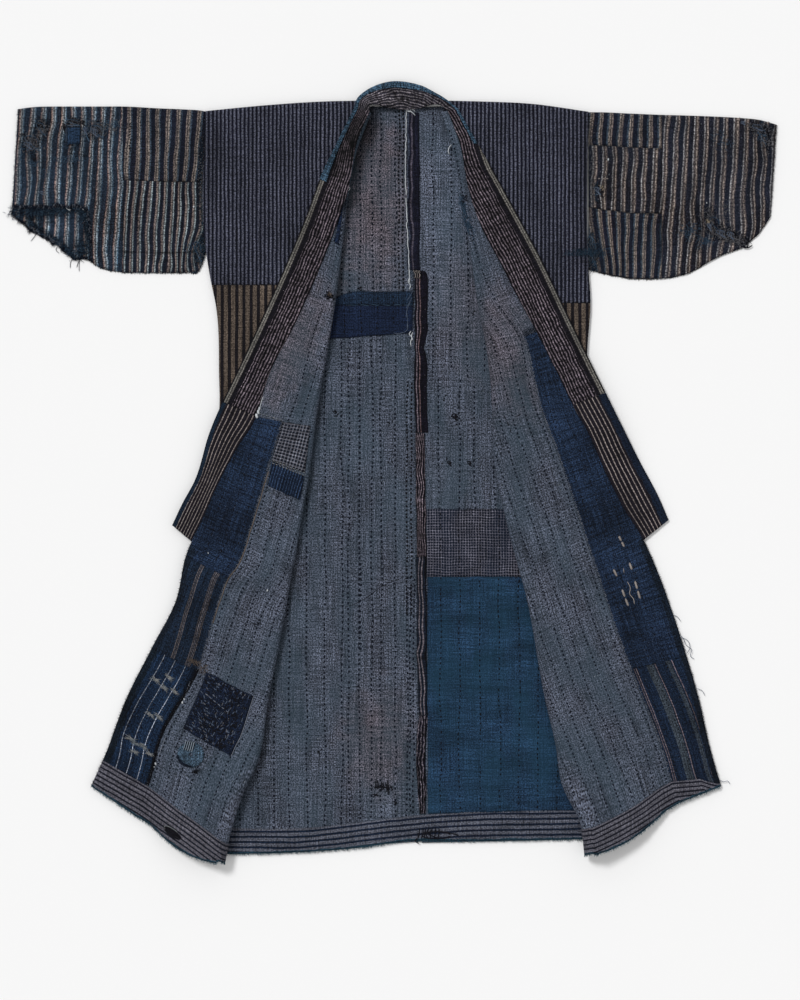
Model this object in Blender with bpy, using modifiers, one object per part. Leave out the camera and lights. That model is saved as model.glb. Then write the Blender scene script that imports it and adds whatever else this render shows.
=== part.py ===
"""Patched work jacket of quilted cotton, lying open on its back with both fronts turned out.

The frame: +Y runs up the back to the collar, +X to the wearer's left, +Z up from the surface
that the jacket lies on. Tables are in millimetres, meshes in metres. Every cloth piece is a
set of cells of a net of points, moved off the net along its normals and given its wall by
Solidify. The net lies midway between the outer cloth and the lining, and its normals point
to the lining's side.
"""

import math
from collections import namedtuple

import bpy
from mathutils import Vector

MM = 0.001
# middle of the whole jacket's box in the tables' millimetres, which becomes the origin
FRAME_CENTRE = Vector((-2.9, 6.25, 0.0))
COLLECTION_NAME = "patched_boro_jacket"

# cloth
SEAM_GAP = 0.3
CLOTH = 1.2
SLEEVE_CLOTH = 1.4
PATCH_CLOTH = 1.0
COLLAR_CLOTH = 2.7
OUTER_LIFT = -(SEAM_GAP + CLOTH) / 2
LINING_LIFT = (SEAM_GAP + CLOTH) / 2
LINING_FACE = LINING_LIFT + CLOTH / 2
# a patch on a curved front keeps a little more air under it than one on the flat back
CURVED_GAP = 0.5
ROUND_MEND_GAP = 0.7
PATCH_LIFT = LINING_FACE + CURVED_GAP + PATCH_CLOTH / 2
MEND_LIFT = LINING_FACE + ROUND_MEND_GAP + PATCH_CLOTH / 2

# heights of the net above the surface
BACK_Z = 1.35
FRONT_SIDE_Z = 4.4
FRONT_Z = 6.0
SHOULDER_FRONT_Z = 7.6
LAPEL_RISE = 4.6
FLOOR_LAPEL_Z = 1.8
SIDE_DROP_START = 18.0
SIDE_DROP_LENGTH = 75.0
SLEEVE_BACK_Z = 0.7
SLEEVE_FRONT_Z = 3.4
SLEEVE_EDGE_Z = 2.4
SLEEVE_SEAM_Z = 3.0

# a fold higher than its front's rest swells the cloth beside it, and past LIFT_FROM the seam too
SWELL = 0.15
SWELL_GROWTH = 1 / 60
LIFT_FROM = 16.0
LIFT = 0.25

# centre-back seam
CENTRE_TOP = (25.0, 566.0)
CENTRE_LEAN = -0.013

SHOULDER_STEPS = (-90, -45, 0, 45, 90)
CROWN_STEPS = (-90, -45, -15, 15, 45, 90)
ROLL_STEPS = (-90, -45, 0, 45, 90)

# where the columns between the named lines lie, as shares of the way
UNDER_SHARES = (0.4, 0.8)
LAPEL_SHARE = 0.42
INNER_SHARE = 0.72
COLLAR_SHARES = (0.0, 0.35, 0.62, 1.0)

SidePoint = namedtuple("SidePoint", "y x")
RIGHT_SIDE = [SidePoint(*row) for row in (
    (-592, -290),
    (-360, -292),
    (-190, -295),
    (-38, -301),
    (24, -296),
    (78, -277),
    (164, -274),
    (264, -279),
    (303, -287),
    (346, -294),
    (600, -294),
)]
LEFT_SIDE = [SidePoint(*row) for row in (
    (-592, 318),
    (-360, 316),
    (-190, 313),
    (-38, 308),
    (86, 302),
    (185, 296),
    (272, 301),
    (319, 298),
    (600, 298),
)]

# back rows, from the hem to the neckline; y at the two sides of each half
BackRow = namedtuple("BackRow", "right_side_y right_centre_y left_centre_y left_side_y")
BACK_ROWS = [BackRow(*row) for row in (
    (-588, -567, -569, -563),
    (-360, -360, -360, -360),
    (-190, -190, -190, -190),
    (-38, -38, -38, -38),
    (24, 24, 24, 24),
    (78, 78, 78, 86),
    (164, 164, 164, 185),
    (264, 264, 264, 272),
    (346, 346, 346, 319),
    (470, 480, 480, 470),
    (535, 570, 570, 535),
)]
NECKLINE_Y = 572

# front rows: where each lies at the side seam, the roll, the overlap seam and the overlap's
# edge, then the collar's outer edge; roll is the height of the fold, crest how far the hem
# dips there. The collar column is None below the collar's end.
FrontRow = namedtuple(
    "FrontRow", "name side_y roll_x roll_y seam_x seam_y edge_x edge_y collar_x collar_y roll crest"
)
RIGHT_FRONT = [FrontRow(*row) for row in (
    ("neck", 546, -39, 561, -46.5, 562.5, -49, 563, -65, 567, 5.5, 0),
    ("collar_bone", 505, -61, 505, -69.5, 507, -72, 508, -95, 507, 8, 0),
    ("chest", 440, -74, 439, -82, 442, -85, 443, -118, 458, 10, 0),
    ("under_arm", 373, -82, 373, -90, 378, -95, 382, -139, 401, 11, 0),
    ("brown_seam", 295, -91, 295, -106, 306, -121, 312, -168, 331, 12, 0),
    ("waist", 210, -104, 210, -133, 222, -157, 232, -204, 250, 12, 0),
    ("hip", 128, -118, 128, -157, 140, -197, 153, -241, 170, 12, 0),
    ("overlap_top", 75, -126, 75, -175, 83, -216, 91, -268, 114, 12, 0),
    ("check_foot", 1, -135, 1, -194, 22, -245, 43, -289, 64, 12, 0),
    ("collar_waist", -84, -150, -84, -215, -50, -279, -22, -312, -10, 12, 0),
    ("collar_flare", -126, -157, -126, -228, -92, -296, -61, -330, -43, 12, 0),
    ("collar_end", -168, -165, -168, -242, -134, -316, -102, -346, -77, 12, 0),
    ("indigo_foot", -198, -170, -198, -259, -159, -325, -125, None, None, 12, 0),
    ("thigh", -266, -182, -266, -281, -220, -340, -193, None, None, 12, 0),
    ("striped_foot", -345, -198, -345, -307, -303, -378, -267, None, None, 13, 0),
    ("low", -444, -215, -444, -358, -394, -420, -351, None, None, 16, 0),
    ("hem_rise", -491, -237, -491, -369, -422, -436, -394, None, None, 20, 0),
    ("hem_top", -568, -260, -568, -384, -481, -454, -441, None, None, 25, 0),
    ("hem", -595, -266, -597, -401, -528, -472, -481, None, None, 26, -12),
)]
LEFT_FRONT = [FrontRow(*row) for row in (
    ("neck", 546, 70, 562, 77.5, 563, 80, 563.5, 96, 566, 5.5, 0),
    ("collar_bone", 508, 88, 508, 96, 510, 99, 511, 126, 513, 7, 0),
    ("chest", 443, 101, 443, 108.5, 446, 111, 447, 155, 463, 8, 0),
    ("under_arm", 373, 112, 373, 124, 380, 132, 384, 183, 412, 8, 0),
    ("ribs", 319, 121, 311, 142, 318, 164, 323, 216, 351, 8, 0),
    ("brown_seam", 267, 127, 267, 156, 280, 181, 289, 233, 317, 9, 0),
    ("overlap_top", 202, 140, 202, 198, 214, 217, 222, 266, 247, 9, 0),
    ("waist", 148, 147, 148, 212, 156, 246, 165, 295, 187, 10, 0),
    ("cloth_change", 98, 150, 98, 225, 103, 273, 109, 324, 128, 10, 0),
    ("hip", 12, 154, 12, 247, 44, 298, 64, 349, 78, 11, 0),
    ("seat", -46, 166, -46, 266, -12, 322, 9, 375, 26, 12, 0),
    ("knee", -108, 181, -108, 285, -70, 350, -47, 403, -26, 12, 0),
    ("collar_end", -181, 201, -181, 306, -134, 383, -100, 422, -69, 12, 0),
    ("indigo_foot", -348, 232, -348, 363, -300, 450, -280, None, None, 14, 0),
    ("low", -418, 248, -418, 394, -376, 470, -351, None, None, 18, 0),
    ("hem_rise", -472, 256, -472, 412, -425, 484, -413, None, None, 22, 0),
    ("hem_top", -545, 288, -545, 426, -474, 499, -467, None, None, 28, -4),
    ("hem", -578, 293, -585, 437, -507, 503, -481, None, None, 29, -10),
)]

# collar stations round the back of the neck
NeckRow = namedtuple("NeckRow", "inner_x inner_y outer_x outer_y z")
NECK_ROWS = [NeckRow(*row) for row in (
    (-40, 571, -59, 584, 11.4),
    (-28, 572, -40, 599, 8.6),
    (-9, 568, -17, 608, 6.2),
    (14, 566, 6, 610, 5.4),
    (37, 568, 37, 604, 6.2),
    (56, 573, 59, 593, 8.6),
    (69, 572, 78, 581, 11.4),
)]

# height of the shoulder line at the four columns of the body net, from the armhole to the neck
Shoulder = namedtuple("Shoulder", "neck_x heights")
RIGHT_SHOULDER = Shoulder(-60, (563, 572, 578, 579))
LEFT_SHOULDER = Shoulder(88, (562, 574, 578, 579))
BODY_SHARES = (0, 0.4, 0.8, 1)

# sleeve stations from the armhole to the cuff; low is the underside seam, front_low the front
# layer's own edge, which stops short where the cloth is torn away
SleeveRow = namedtuple("SleeveRow", "x top low front_low front_z lean")
RIGHT_SLEEVE = [SleeveRow(*row) for row in (
    (-294.3, 563, 347, 347, 5.1, 0),
    (-305, 565, 317, 317, 4.6, 0),
    (-366, 568, 314, 314, 3.8, 0),
    (-423, 571, 315, 315, 3.6, 0),
    (-459, 571, 322, 322, SLEEVE_FRONT_Z, 0),
    (-473, 571, 330, 330, SLEEVE_FRONT_Z, 0),
    (-476, 571, 331, 417, SLEEVE_FRONT_Z, 0),
    (-502, 571, 338, 419, SLEEVE_FRONT_Z, 0),
    (-526, 571, 356, 420, SLEEVE_FRONT_Z, 0),
    (-562, 570, 377, 418, SLEEVE_FRONT_Z, 0),
    (-585, 567, 405, 420, SLEEVE_FRONT_Z, -10),
)]
LEFT_SLEEVE = [SleeveRow(*row) for row in (
    (298.3, 562, 319, 319, 5.1, 0),
    (316, 562, 314, 314, 4.6, 0),
    (363, 560, 305, 305, 3.8, 0),
    (412, 558, 305, 305, 3.6, 0),
    (450, 557, 312, 312, SLEEVE_FRONT_Z, 0),
    (502, 555, 340, 340, SLEEVE_FRONT_Z, 0),
    (536, 553, 353, 353, SLEEVE_FRONT_Z, 0),
    (564, 550, 373, 373, SLEEVE_FRONT_Z, -3),
    (589, 543, 400, 400, SLEEVE_FRONT_Z, -9),
)]
RIGHT_SLEEVE_SEAMS = (0.44, 0.87)
LEFT_SLEEVE_SEAMS = (0.19, 0.61)
# the station where the cut pieces of a sleeve's upper half meet its plain lower half
RIGHT_SLEEVE_JOIN = 3
LEFT_SLEEVE_JOIN = 3

# flat pieces on the back lining: x at the top left and right, then at the bottom, and the two ys
FlatPiece = namedtuple("FlatPiece", "name top_left top_right foot_left foot_right top foot colour")
FLAT_PIECES = [FlatPiece(*row) for row in (
    ("back_strip_1", 19, 35, 19, 35, 562, 318, "black_stripe"),
    ("back_strip_2", 27, 51, 29, 49, 317.7, 66, "black_stripe"),
    ("back_strip_3", 30, 45, 30, 45, 65.7, -126, "brown_stripe"),
    ("back_strip_4", 31, 50, 34, 52, -126.3, -371, "navy"),
    ("back_strip_5", 34, 48, 36, 51, -371.3, -522, "black_stripe"),
    ("back_patch_navy_upper", -104, 18, -107, 18, 285, 264, "teal_navy"),
    ("back_patch_navy_lower", -107, 19, -112, 19, 263.7, 209, "navy"),
    ("back_patch_check", 52, 188, 52, 214, -52, -156.7, "check"),
    ("back_panel_indigo", 53, 214, 56, 297, -157, -517, "indigo"),
)]
BACK_HEM_TOP = ((-282, -546), (-143, -546), (-53, -537), (17, -528), (98, -522), (303, -518))
BACK_HEM_FOOT = ((-282, -587), (-143, -583), (-53, -576), (17, -566), (98, -566), (303, -563))

# pieces on a turned-out front, from a share past one row of its net to a share past another,
# and between two fractional column numbers
LapelPiece = namedtuple(
    "LapelPiece", "name side start start_share end end_share column_start column_end colour"
)
LAPEL_PIECES = [LapelPiece(*row) for row in (
    ("right_patch_small", "right", "chest", 0.1, "under_arm", 0.25, 6.8, 11.85, "navy"),
    ("right_patch_check", "right", "overlap_top_below", 0.02, "check_foot", 0, 6.7, 8.9, "check"),
    ("right_patch_fine", "right", "check_foot", 0.02, "check_foot", 0.48, 6.8, 8.85, "teal_navy"),
    ("right_patch_mottled", "right", "thigh", 0.93, "low", 0, 7.3, 8.75, "navy"),
)]
ROUND_MEND = (-317.0, -431.0, 21.0)
SLEEVE_MEND = (-508.0, -490.0, 512.0, 540.0)

# columns of the front net: foot of the roll, middle of the lapel, overlap seam and free edge
ROLL_FOOT = 3
LAPEL = 8
SEAM = 9
EDGE = 12
# columns of the sleeve net: crown of the fold, and the first column past each front seam
CROWN = 4
SLEEVE_SEAMS = (9, 11)

COLOURS = {
    "navy_stripe": (0.045, 0.055, 0.085),
    "brown": (0.075, 0.060, 0.048),
    "lining": (0.105, 0.125, 0.165),
    "indigo": (0.020, 0.060, 0.120),
    "navy": (0.012, 0.025, 0.055),
    "teal_navy": (0.020, 0.050, 0.085),
    "pinstripe": (0.014, 0.026, 0.056),
    "brown_stripe": (0.060, 0.048, 0.042),
    "black_stripe": (0.018, 0.015, 0.018),
    "check": (0.065, 0.065, 0.080),
    "hem": (0.085, 0.085, 0.105),
    "teal": (0.025, 0.060, 0.080),
    "sleeve": (0.060, 0.055, 0.055),
}


def clear_scene():
    for thing in list(bpy.data.objects):
        bpy.data.objects.remove(thing, do_unlink=True)


def make_collection(name):
    collection = bpy.data.collections.new(name)
    bpy.context.scene.collection.children.link(collection)
    return collection


def cloth_material(colour):
    name = "cotton_" + colour
    found = bpy.data.materials.get(name)
    if found:
        return found
    material = bpy.data.materials.new(name)
    material.use_nodes = True
    shader = material.node_tree.nodes["Principled BSDF"]
    shader.inputs["Base Color"].default_value = (*COLOURS[colour], 1.0)
    shader.inputs["Roughness"].default_value = 0.9
    shader.inputs["Metallic"].default_value = 0.0
    return material


def blend(low, high, share):
    return low + (high - low) * share


def along(line, value, key, answer):
    """Read a table by straight lines between its rows."""
    for first, second in zip(line, line[1:]):
        if key(first) <= value <= key(second):
            share = (value - key(first)) / (key(second) - key(first))
            return blend(answer(first), answer(second), share)
    nearest = line[0] if value < key(line[0]) else line[-1]
    return answer(nearest)


def side_x(table, y):
    return along(table, y, lambda row: row.y, lambda row: row.x)


def centre_x(y):
    return CENTRE_TOP[0] + (y - CENTRE_TOP[1]) * CENTRE_LEAN


class Net:
    """Named points, and the cells between them, each with the zone that it lies in."""

    def __init__(self):
        self.points = {}
        self.cells = []

    def add_cell(self, zone, corners):
        self.cells.append((zone, corners))

    def add_block(self, zone_of, part, rows, columns):
        for row in range(rows - 1):
            for column in range(columns - 1):
                corners = [
                    (part, row, column),
                    (part, row, column + 1),
                    (part, row + 1, column + 1),
                    (part, row + 1, column),
                ]
                self.add_cell(zone_of(row, column), corners)

    def normals(self, flip):
        """Normal at each point, from the cells round it."""
        total = {name: Vector() for name in self.points}
        for _, corners in self.cells:
            a, b, c, d = (self.points[corner] for corner in corners)
            direction = (c - a).cross(d - b)
            if direction.length > 0:
                direction.normalize()
            for corner in corners:
                total[corner] += direction
        sign = -1 if flip else 1
        return {name: sign * vector.normalized() for name, vector in total.items()}


def build_piece(name, points, faces, thickness, colour, collection):
    """A cloth piece: an open surface through its points, with its wall by Solidify."""
    mesh = bpy.data.meshes.new(name)
    mesh.from_pydata([tuple((point - FRAME_CENTRE) * MM) for point in points], [], faces)
    mesh.materials.append(cloth_material(colour))
    mesh.shade_smooth()
    mesh.set_sharp_from_angle(angle=math.radians(50))
    piece = bpy.data.objects.new(name, mesh)
    collection.objects.link(piece)
    wall = piece.modifiers.new("wall", "SOLIDIFY")
    wall.thickness = thickness * MM
    wall.offset = 0
    return piece


def net_piece(name, net, normals, zones, lift, thickness, colour, collection):
    """The cells of some zones of a net, moved off it by the lift."""
    order = {}
    faces = []
    for zone, corners in net.cells:
        if zone in zones:
            faces.append([order.setdefault(corner, len(order)) for corner in corners])
    points = [net.points[corner] + normals[corner] * lift for corner in order]
    return build_piece(name, points, faces, thickness, colour, collection)


def grid_faces(rows, columns):
    faces = []
    for row in range(rows - 1):
        for column in range(columns - 1):
            first = row * columns + column
            faces.append([first, first + 1, first + columns + 1, first + columns])
    return faces


def lapel_height(front_z, beyond_side):
    """Height of the turned-out front: on the front below it, then down past its side seam."""
    share = (beyond_side - SIDE_DROP_START) / SIDE_DROP_LENGTH
    share = min(max(share, 0.0), 1.0)
    ease = share * share * (3 - 2 * share)
    return blend(front_z + LAPEL_RISE, FLOOR_LAPEL_Z, ease)


def front_row_points(row, out, side_table, first):
    """One row of the front: under, round the roll and back out over itself."""
    front_z = SHOULDER_FRONT_Z if first else FRONT_Z
    side = Vector((side_x(side_table, row.side_y), row.side_y, front_z if first else FRONT_SIDE_Z))
    nose = Vector((row.roll_x, row.roll_y, 0))
    seam = Vector((row.seam_x, row.seam_y, 0))
    edge = Vector((row.edge_x, row.edge_y, 0))
    radius = row.roll / 2
    turned = (edge - nose).normalized()
    points = [side]
    foot = Vector((row.roll_x + out * radius, row.roll_y, front_z))
    for share in UNDER_SHARES:
        step = side.lerp(foot, share)
        step.z = front_z
        points.append(step)
    for angle in ROLL_STEPS:
        bend = math.radians(angle)
        reach = radius * (1 - math.cos(bend))
        share = (angle + 90) / 180
        heading = Vector((out, 0, 0)).lerp(turned, share)
        place = nose + heading * reach
        place.z = front_z + radius * (1 + math.sin(bend))
        points.append(place)
    points[-1].y += row.crest / 2
    top = points[-1]

    def rest(place):
        beyond = (place.x - side_x(side_table, place.y)) * out
        return lapel_height(front_z, beyond)

    middle = top.lerp(seam, LAPEL_SHARE)
    middle.y += row.crest
    swell = SWELL + row.roll * SWELL_GROWTH
    middle.z = rest(middle) + max(0.0, row.roll - LAPEL_RISE) * swell
    seam.z = rest(seam) + max(0.0, row.roll - LIFT_FROM) * LIFT
    edge.z = rest(edge)
    half_gap = SEAM_GAP / 2
    into_lapel = (middle - seam).normalized() * half_gap
    into_edge = (edge - seam).normalized() * half_gap
    points += [middle, seam + into_lapel, seam + into_edge]
    points += [seam.lerp(edge, 0.5), edge]
    return points


def doubled_rows(rows, names):
    """Rows with a seam across them become two, a seam gap apart."""
    doubled = []
    labels = []
    for index, (name, points) in enumerate(rows):
        if name not in names:
            doubled.append(points)
            labels.append(name)
            continue
        before = rows[index - 1][1]
        after = rows[index + 1][1]
        above = [p + (b - p).normalized() * SEAM_GAP / 2 for p, b in zip(points, before)]
        below = [p + (a - p).normalized() * SEAM_GAP / 2 for p, a in zip(points, after)]
        doubled += [above, below]
        labels += [name + "_above", name + "_below"]
    return doubled, labels


def body_net(side, seams):
    """One half of the body: back, shoulder fold, front, roll and turned-out front."""
    right = side == "right"
    out = -1 if right else 1
    side_table = RIGHT_SIDE if right else LEFT_SIDE
    front_table = RIGHT_FRONT if right else LEFT_FRONT
    shoulder = RIGHT_SHOULDER if right else LEFT_SHOULDER
    net = Net()

    # back: four columns that run on over the shoulder, then two more to the centre seam
    for index, row in enumerate(BACK_ROWS):
        side_y = row.right_side_y if right else row.left_side_y
        centre_y = row.right_centre_y if right else row.left_centre_y
        outer = Vector((side_x(side_table, side_y), side_y, BACK_Z))
        centre = Vector((centre_x(centre_y) + out * SEAM_GAP / 2, centre_y, BACK_Z))
        last = index == len(BACK_ROWS) - 1
        neck = shoulder.neck_x if last else blend(outer.x, centre.x, INNER_SHARE)
        inner_y = NECKLINE_Y if last else blend(side_y, centre_y, INNER_SHARE)
        inner = Vector((neck, inner_y, BACK_Z))
        for column, share in enumerate(BODY_SHARES):
            net.points["body", index, column] = outer.lerp(inner, share)
        net.points["inner", index, 0] = net.points["body", index, 3]
        net.points["inner", index, 1] = inner.lerp(centre, 0.5)
        net.points["inner", index, 2] = centre
    back_count = len(BACK_ROWS)

    # shoulder fold
    radius = (SHOULDER_FRONT_Z - BACK_Z) / 2
    armhole_x = side_x(side_table, shoulder.heights[0])
    for step, angle in enumerate(SHOULDER_STEPS):
        bend = math.radians(angle)
        for column, share in enumerate(BODY_SHARES):
            x = blend(armhole_x, shoulder.neck_x, share)
            y = shoulder.heights[column] - radius * (1 - math.cos(bend))
            z = BACK_Z + radius * (1 + math.sin(bend))
            net.points["body", back_count + step, column] = Vector((x, y, z))
    body_rows = back_count + len(SHOULDER_STEPS)

    # front, with its seams doubled
    rows = []
    for index, row in enumerate(front_table):
        rows.append((row.name, front_row_points(row, out, side_table, index == 0)))
    points, labels = doubled_rows(rows, seams)
    for row, line in enumerate(points):
        for column, place in enumerate(line):
            net.points["front", row, column] = place
    for column in range(4):
        net.points["body", body_rows, column] = net.points["front", 0, column]

    def front_zone(row, column):
        seam_gap = column == SEAM
        part = "front" if column < SEAM else "overlap"
        return (part, row, "gap" if seam_gap else "cloth")

    net.add_block(lambda row, column: ("back", row, "cloth"), "body", body_rows + 1, 4)
    net.add_block(lambda row, column: ("back", row, "cloth"), "inner", back_count, 3)
    net.add_block(front_zone, "front", len(points), len(points[0]))
    share_points(net)
    return net, labels


def share_points(net):
    """Points of two blocks that lie in one place become one."""
    same = {}
    for name in list(net.points):
        part, row, column = name
        if part == "inner" and column == 0:
            same[name] = ("body", row, 3)
    last = max(name[1] for name in net.points if name[0] == "body")
    for column in range(4):
        same["body", last, column] = ("front", 0, column)
    net.cells = [(zone, [same.get(c, c) for c in corners]) for zone, corners in net.cells]
    for name in same:
        del net.points[name]


def zones_between(labels, start, end, parts, with_seam):
    """Zones of the front's rows from one label to another."""
    first = labels.index(start)
    last = labels.index(end)
    kinds = ("cloth", "gap") if with_seam else ("cloth",)
    return {(part, row, kind) for row in range(first, last) for part in parts for kind in kinds}


def build_body(side, pieces, seams, collection):
    net, labels = body_net(side, seams)
    right = side == "right"
    normals = net.normals(flip=not right)
    back = {zone for zone, _ in net.cells if zone[0] == "back"}
    top = "overlap_top_above"
    below = "overlap_top_below"
    both = ("front", "overlap")
    upper = zones_between(labels, "neck", "brown_seam_above", both, True)
    lower = zones_between(labels, "brown_seam_below", top, both, True)
    gap = zones_between(labels, top, below, ("front",), False)
    main = zones_between(labels, below, "hem", ("front",), False)
    overlap = zones_between(labels, below, "hem", ("overlap",), False)
    brown_gap = zones_between(labels, "brown_seam_above", "brown_seam_below", both, True)
    make = [
        ("body_outer", back | upper, OUTER_LIFT, CLOTH, "navy_stripe"),
        ("front_lower", lower | gap | main, OUTER_LIFT, CLOTH, "brown"),
        ("overlap_outer", overlap | inner_gaps(labels, pieces), OUTER_LIFT, CLOTH, "navy"),
        (
            "body_lining",
            back | upper | brown_gap | lower | gap | main | row_gaps(labels, pieces),
            LINING_LIFT,
            CLOTH,
            "lining",
        ),
    ]
    for ending, zones, lift, wall, colour in make:
        net_piece(f"{side}_{ending}", net, normals, zones, lift, wall, colour, collection)
    for ending, start, end, colour in pieces:
        zones = zones_between(labels, start, end, ("overlap",), False)
        name = f"{side}_overlap_{ending}"
        net_piece(name, net, normals, zones, LINING_LIFT, CLOTH, colour, collection)
    return net, normals, labels


def row_gaps(labels, pieces):
    """The narrow rows at the overlap's seams, which the body lining runs through."""
    zones = set()
    for _, _, end, _ in pieces[:-1]:
        zones |= zones_between(labels, end, labels[labels.index(end) + 1], ("front",), False)
    return zones


def inner_gaps(labels, pieces):
    """The same narrow rows of the overlap, for its outer cloth."""
    zones = set()
    for _, _, end, _ in pieces[:-1]:
        zones |= zones_between(labels, end, labels[labels.index(end) + 1], ("overlap",), False)
    return zones


def sample(net, normals, row, column, lift):
    """A point on the front net at fractional row and column numbers, moved off it."""
    row_low = int(math.floor(row))
    column_low = int(math.floor(column))
    row_share = row - row_low
    column_share = column - column_low
    place = Vector()
    normal = Vector()
    for row_step, row_weight in ((0, 1 - row_share), (1, row_share)):
        for column_step, column_weight in ((0, 1 - column_share), (1, column_share)):
            weight = row_weight * column_weight
            if weight > 0:
                name = ("front", row_low + row_step, column_low + column_step)
                place += net.points[name] * weight
                normal += normals[name] * weight
    return place + normal.normalized() * lift


def breaks(start, end):
    """The ends of a span and the whole numbers inside it."""
    inside = range(math.floor(start) + 1, math.ceil(end))
    return [start, *inside, end]


def build_lapel_piece(name, net, normals, rows, columns, colour, collection):
    row_breaks = breaks(*rows)
    column_breaks = breaks(*columns)
    points = []
    for row in row_breaks:
        for column in column_breaks:
            points.append(sample(net, normals, row, column, PATCH_LIFT))
    faces = grid_faces(len(row_breaks), len(column_breaks))
    build_piece(name, points, faces, PATCH_CLOTH, colour, collection)


def collar_stations():
    """The band from its right end, up that front, round the neck and down the other."""
    stations = []
    lift = COLLAR_CLOTH / 2 - CLOTH - SEAM_GAP / 2

    def front_stations(side, table):
        out = -1 if side == "right" else 1
        side_table = RIGHT_SIDE if side == "right" else LEFT_SIDE
        found = []
        for index, row in enumerate(table):
            if row.collar_x is None:
                continue
            edge = Vector((row.edge_x, row.edge_y, 0))
            outer = Vector((row.collar_x, row.collar_y, 0))
            front_z = SHOULDER_FRONT_Z if index == 0 else FRONT_Z
            for place in (edge, outer):
                beyond = (place.x - side_x(side_table, place.y)) * out
                place.z = lapel_height(front_z, beyond) + lift
            inner = edge + (outer - edge).normalized() * SEAM_GAP
            found.append((row.name, inner, outer))
        return found

    right_rows = front_stations("right", RIGHT_FRONT)
    left_rows = front_stations("left", LEFT_FRONT)
    for name, inner, outer in reversed(right_rows):
        stations.append(("right_" + name, inner, outer))
    for number, row in enumerate(NECK_ROWS):
        inner = Vector((row.inner_x, row.inner_y, row.z))
        outer = Vector((row.outer_x, row.outer_y, row.z))
        stations.append((f"neck_{number}", inner, outer))
    for name, inner, outer in left_rows:
        stations.append(("left_" + name, inner, outer))
    return stations


COLLAR_PARTS = (
    ("right_collar_end", "right_collar_end", "right_overlap_top", "brown_stripe"),
    ("right_collar_band", "right_overlap_top", "right_neck", "black_stripe"),
    ("neck_collar", "right_neck", "left_neck", "black_stripe"),
    ("left_collar_band", "left_neck", "left_cloth_change", "black_stripe"),
    ("left_collar_end", "left_cloth_change", "left_collar_end", "brown_stripe"),
)
BINDING_START = "right_chest"
BINDING_END = "left_collar_bone"


def build_collar(stations, collection):
    names = [name for name, _, _ in stations]
    count = len(COLLAR_SHARES)
    lines = []
    for _, inner, outer in stations:
        lines.append([inner.lerp(outer, share) for share in COLLAR_SHARES])
    net = Net()
    for row, line in enumerate(lines):
        for column, place in enumerate(line):
            net.points["collar", row, column] = place
    net.add_block(lambda row, column: (row, column), "collar", len(lines), count)
    normals = net.normals(flip=False)
    if normals["collar", 0, 0].z < 0:
        normals = net.normals(flip=True)
    for name, start, end, colour in COLLAR_PARTS:
        first = names.index(start)
        last = names.index(end)
        rows = lines[first : last + 1]
        rows = trim_ends(rows, first > 0, last < len(lines) - 1)
        points = [place for line in rows for place in line]
        faces = grid_faces(len(rows), count)
        build_piece(name, points, faces, COLLAR_CLOTH, colour, collection)
    first = names.index(BINDING_START)
    last = names.index(BINDING_END)
    lift = COLLAR_CLOTH / 2 + CURVED_GAP + PATCH_CLOTH / 2
    points = []
    for row in range(first, last + 1):
        for column in (count - 2, count - 1):
            key = ("collar", row, column)
            points.append(net.points[key] + normals[key] * lift)
    faces = grid_faces(last - first + 1, 2)
    build_piece("neck_binding", points, faces, PATCH_CLOTH, "teal", collection)


def trim_ends(rows, at_start, at_end):
    """Half a seam gap off the ends of a length of band that meets another."""
    rows = [list(line) for line in rows]
    if at_start:
        rows[0] = [p + (q - p).normalized() * SEAM_GAP / 2 for p, q in zip(rows[0], rows[1])]
    if at_end:
        rows[-1] = [p + (q - p).normalized() * SEAM_GAP / 2 for p, q in zip(rows[-1], rows[-2])]
    return rows


def build_back_pieces(collection):
    z = BACK_Z + LINING_FACE + SEAM_GAP + PATCH_CLOTH / 2
    for piece in FLAT_PIECES:
        points = [
            Vector((piece.top_left, piece.top, z)),
            Vector((piece.top_right, piece.top, z)),
            Vector((piece.foot_left, piece.foot, z)),
            Vector((piece.foot_right, piece.foot, z)),
        ]
        build_piece(piece.name, points, grid_faces(2, 2), PATCH_CLOTH, piece.colour, collection)
    points = []
    for line in (BACK_HEM_TOP, BACK_HEM_FOOT):
        points += [Vector((x, y, z)) for x, y in line]
    faces = grid_faces(2, len(BACK_HEM_TOP))
    build_piece("back_hem_facing", points, faces, PATCH_CLOTH, "hem", collection)


def build_front_pieces(sides, collection):
    for piece in LAPEL_PIECES:
        net, normals, labels = sides[piece.side]
        start = labels.index(piece.start) + piece.start_share
        rows = (start, labels.index(piece.end) + piece.end_share)
        columns = (piece.column_start, piece.column_end)
        build_lapel_piece(piece.name, net, normals, rows, columns, piece.colour, collection)
    for side, (net, normals, labels) in sides.items():
        rows = (labels.index("hem_top"), labels.index("hem"))
        columns = (ROLL_FOOT + 1, EDGE)
        build_lapel_piece(f"{side}_hem_facing", net, normals, rows, columns, "hem", collection)
    build_round_mend(sides["right"], collection)


def height_on_front(net, x, y):
    """Height of the turned-out front's net over a place, from the cell that holds it."""
    for zone, corners in net.cells:
        if zone[0] == "back" or any(corner[2] < LAPEL for corner in corners):
            continue
        a, b, c, d = (net.points[corner] for corner in corners)
        for first, second, third in ((a, b, c), (a, c, d)):
            area = (second - first).cross(third - first).z
            if abs(area) < 1:
                continue
            place = Vector((x, y, 0))
            flat = [Vector((p.x, p.y, 0)) for p in (first, second, third)]
            u = (flat[1] - place).cross(flat[2] - place).z / area
            v = (flat[2] - place).cross(flat[0] - place).z / area
            w = 1 - u - v
            if min(u, v, w) >= 0:
                return u * first.z + v * second.z + w * third.z
    return FRONT_Z + LAPEL_RISE


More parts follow.
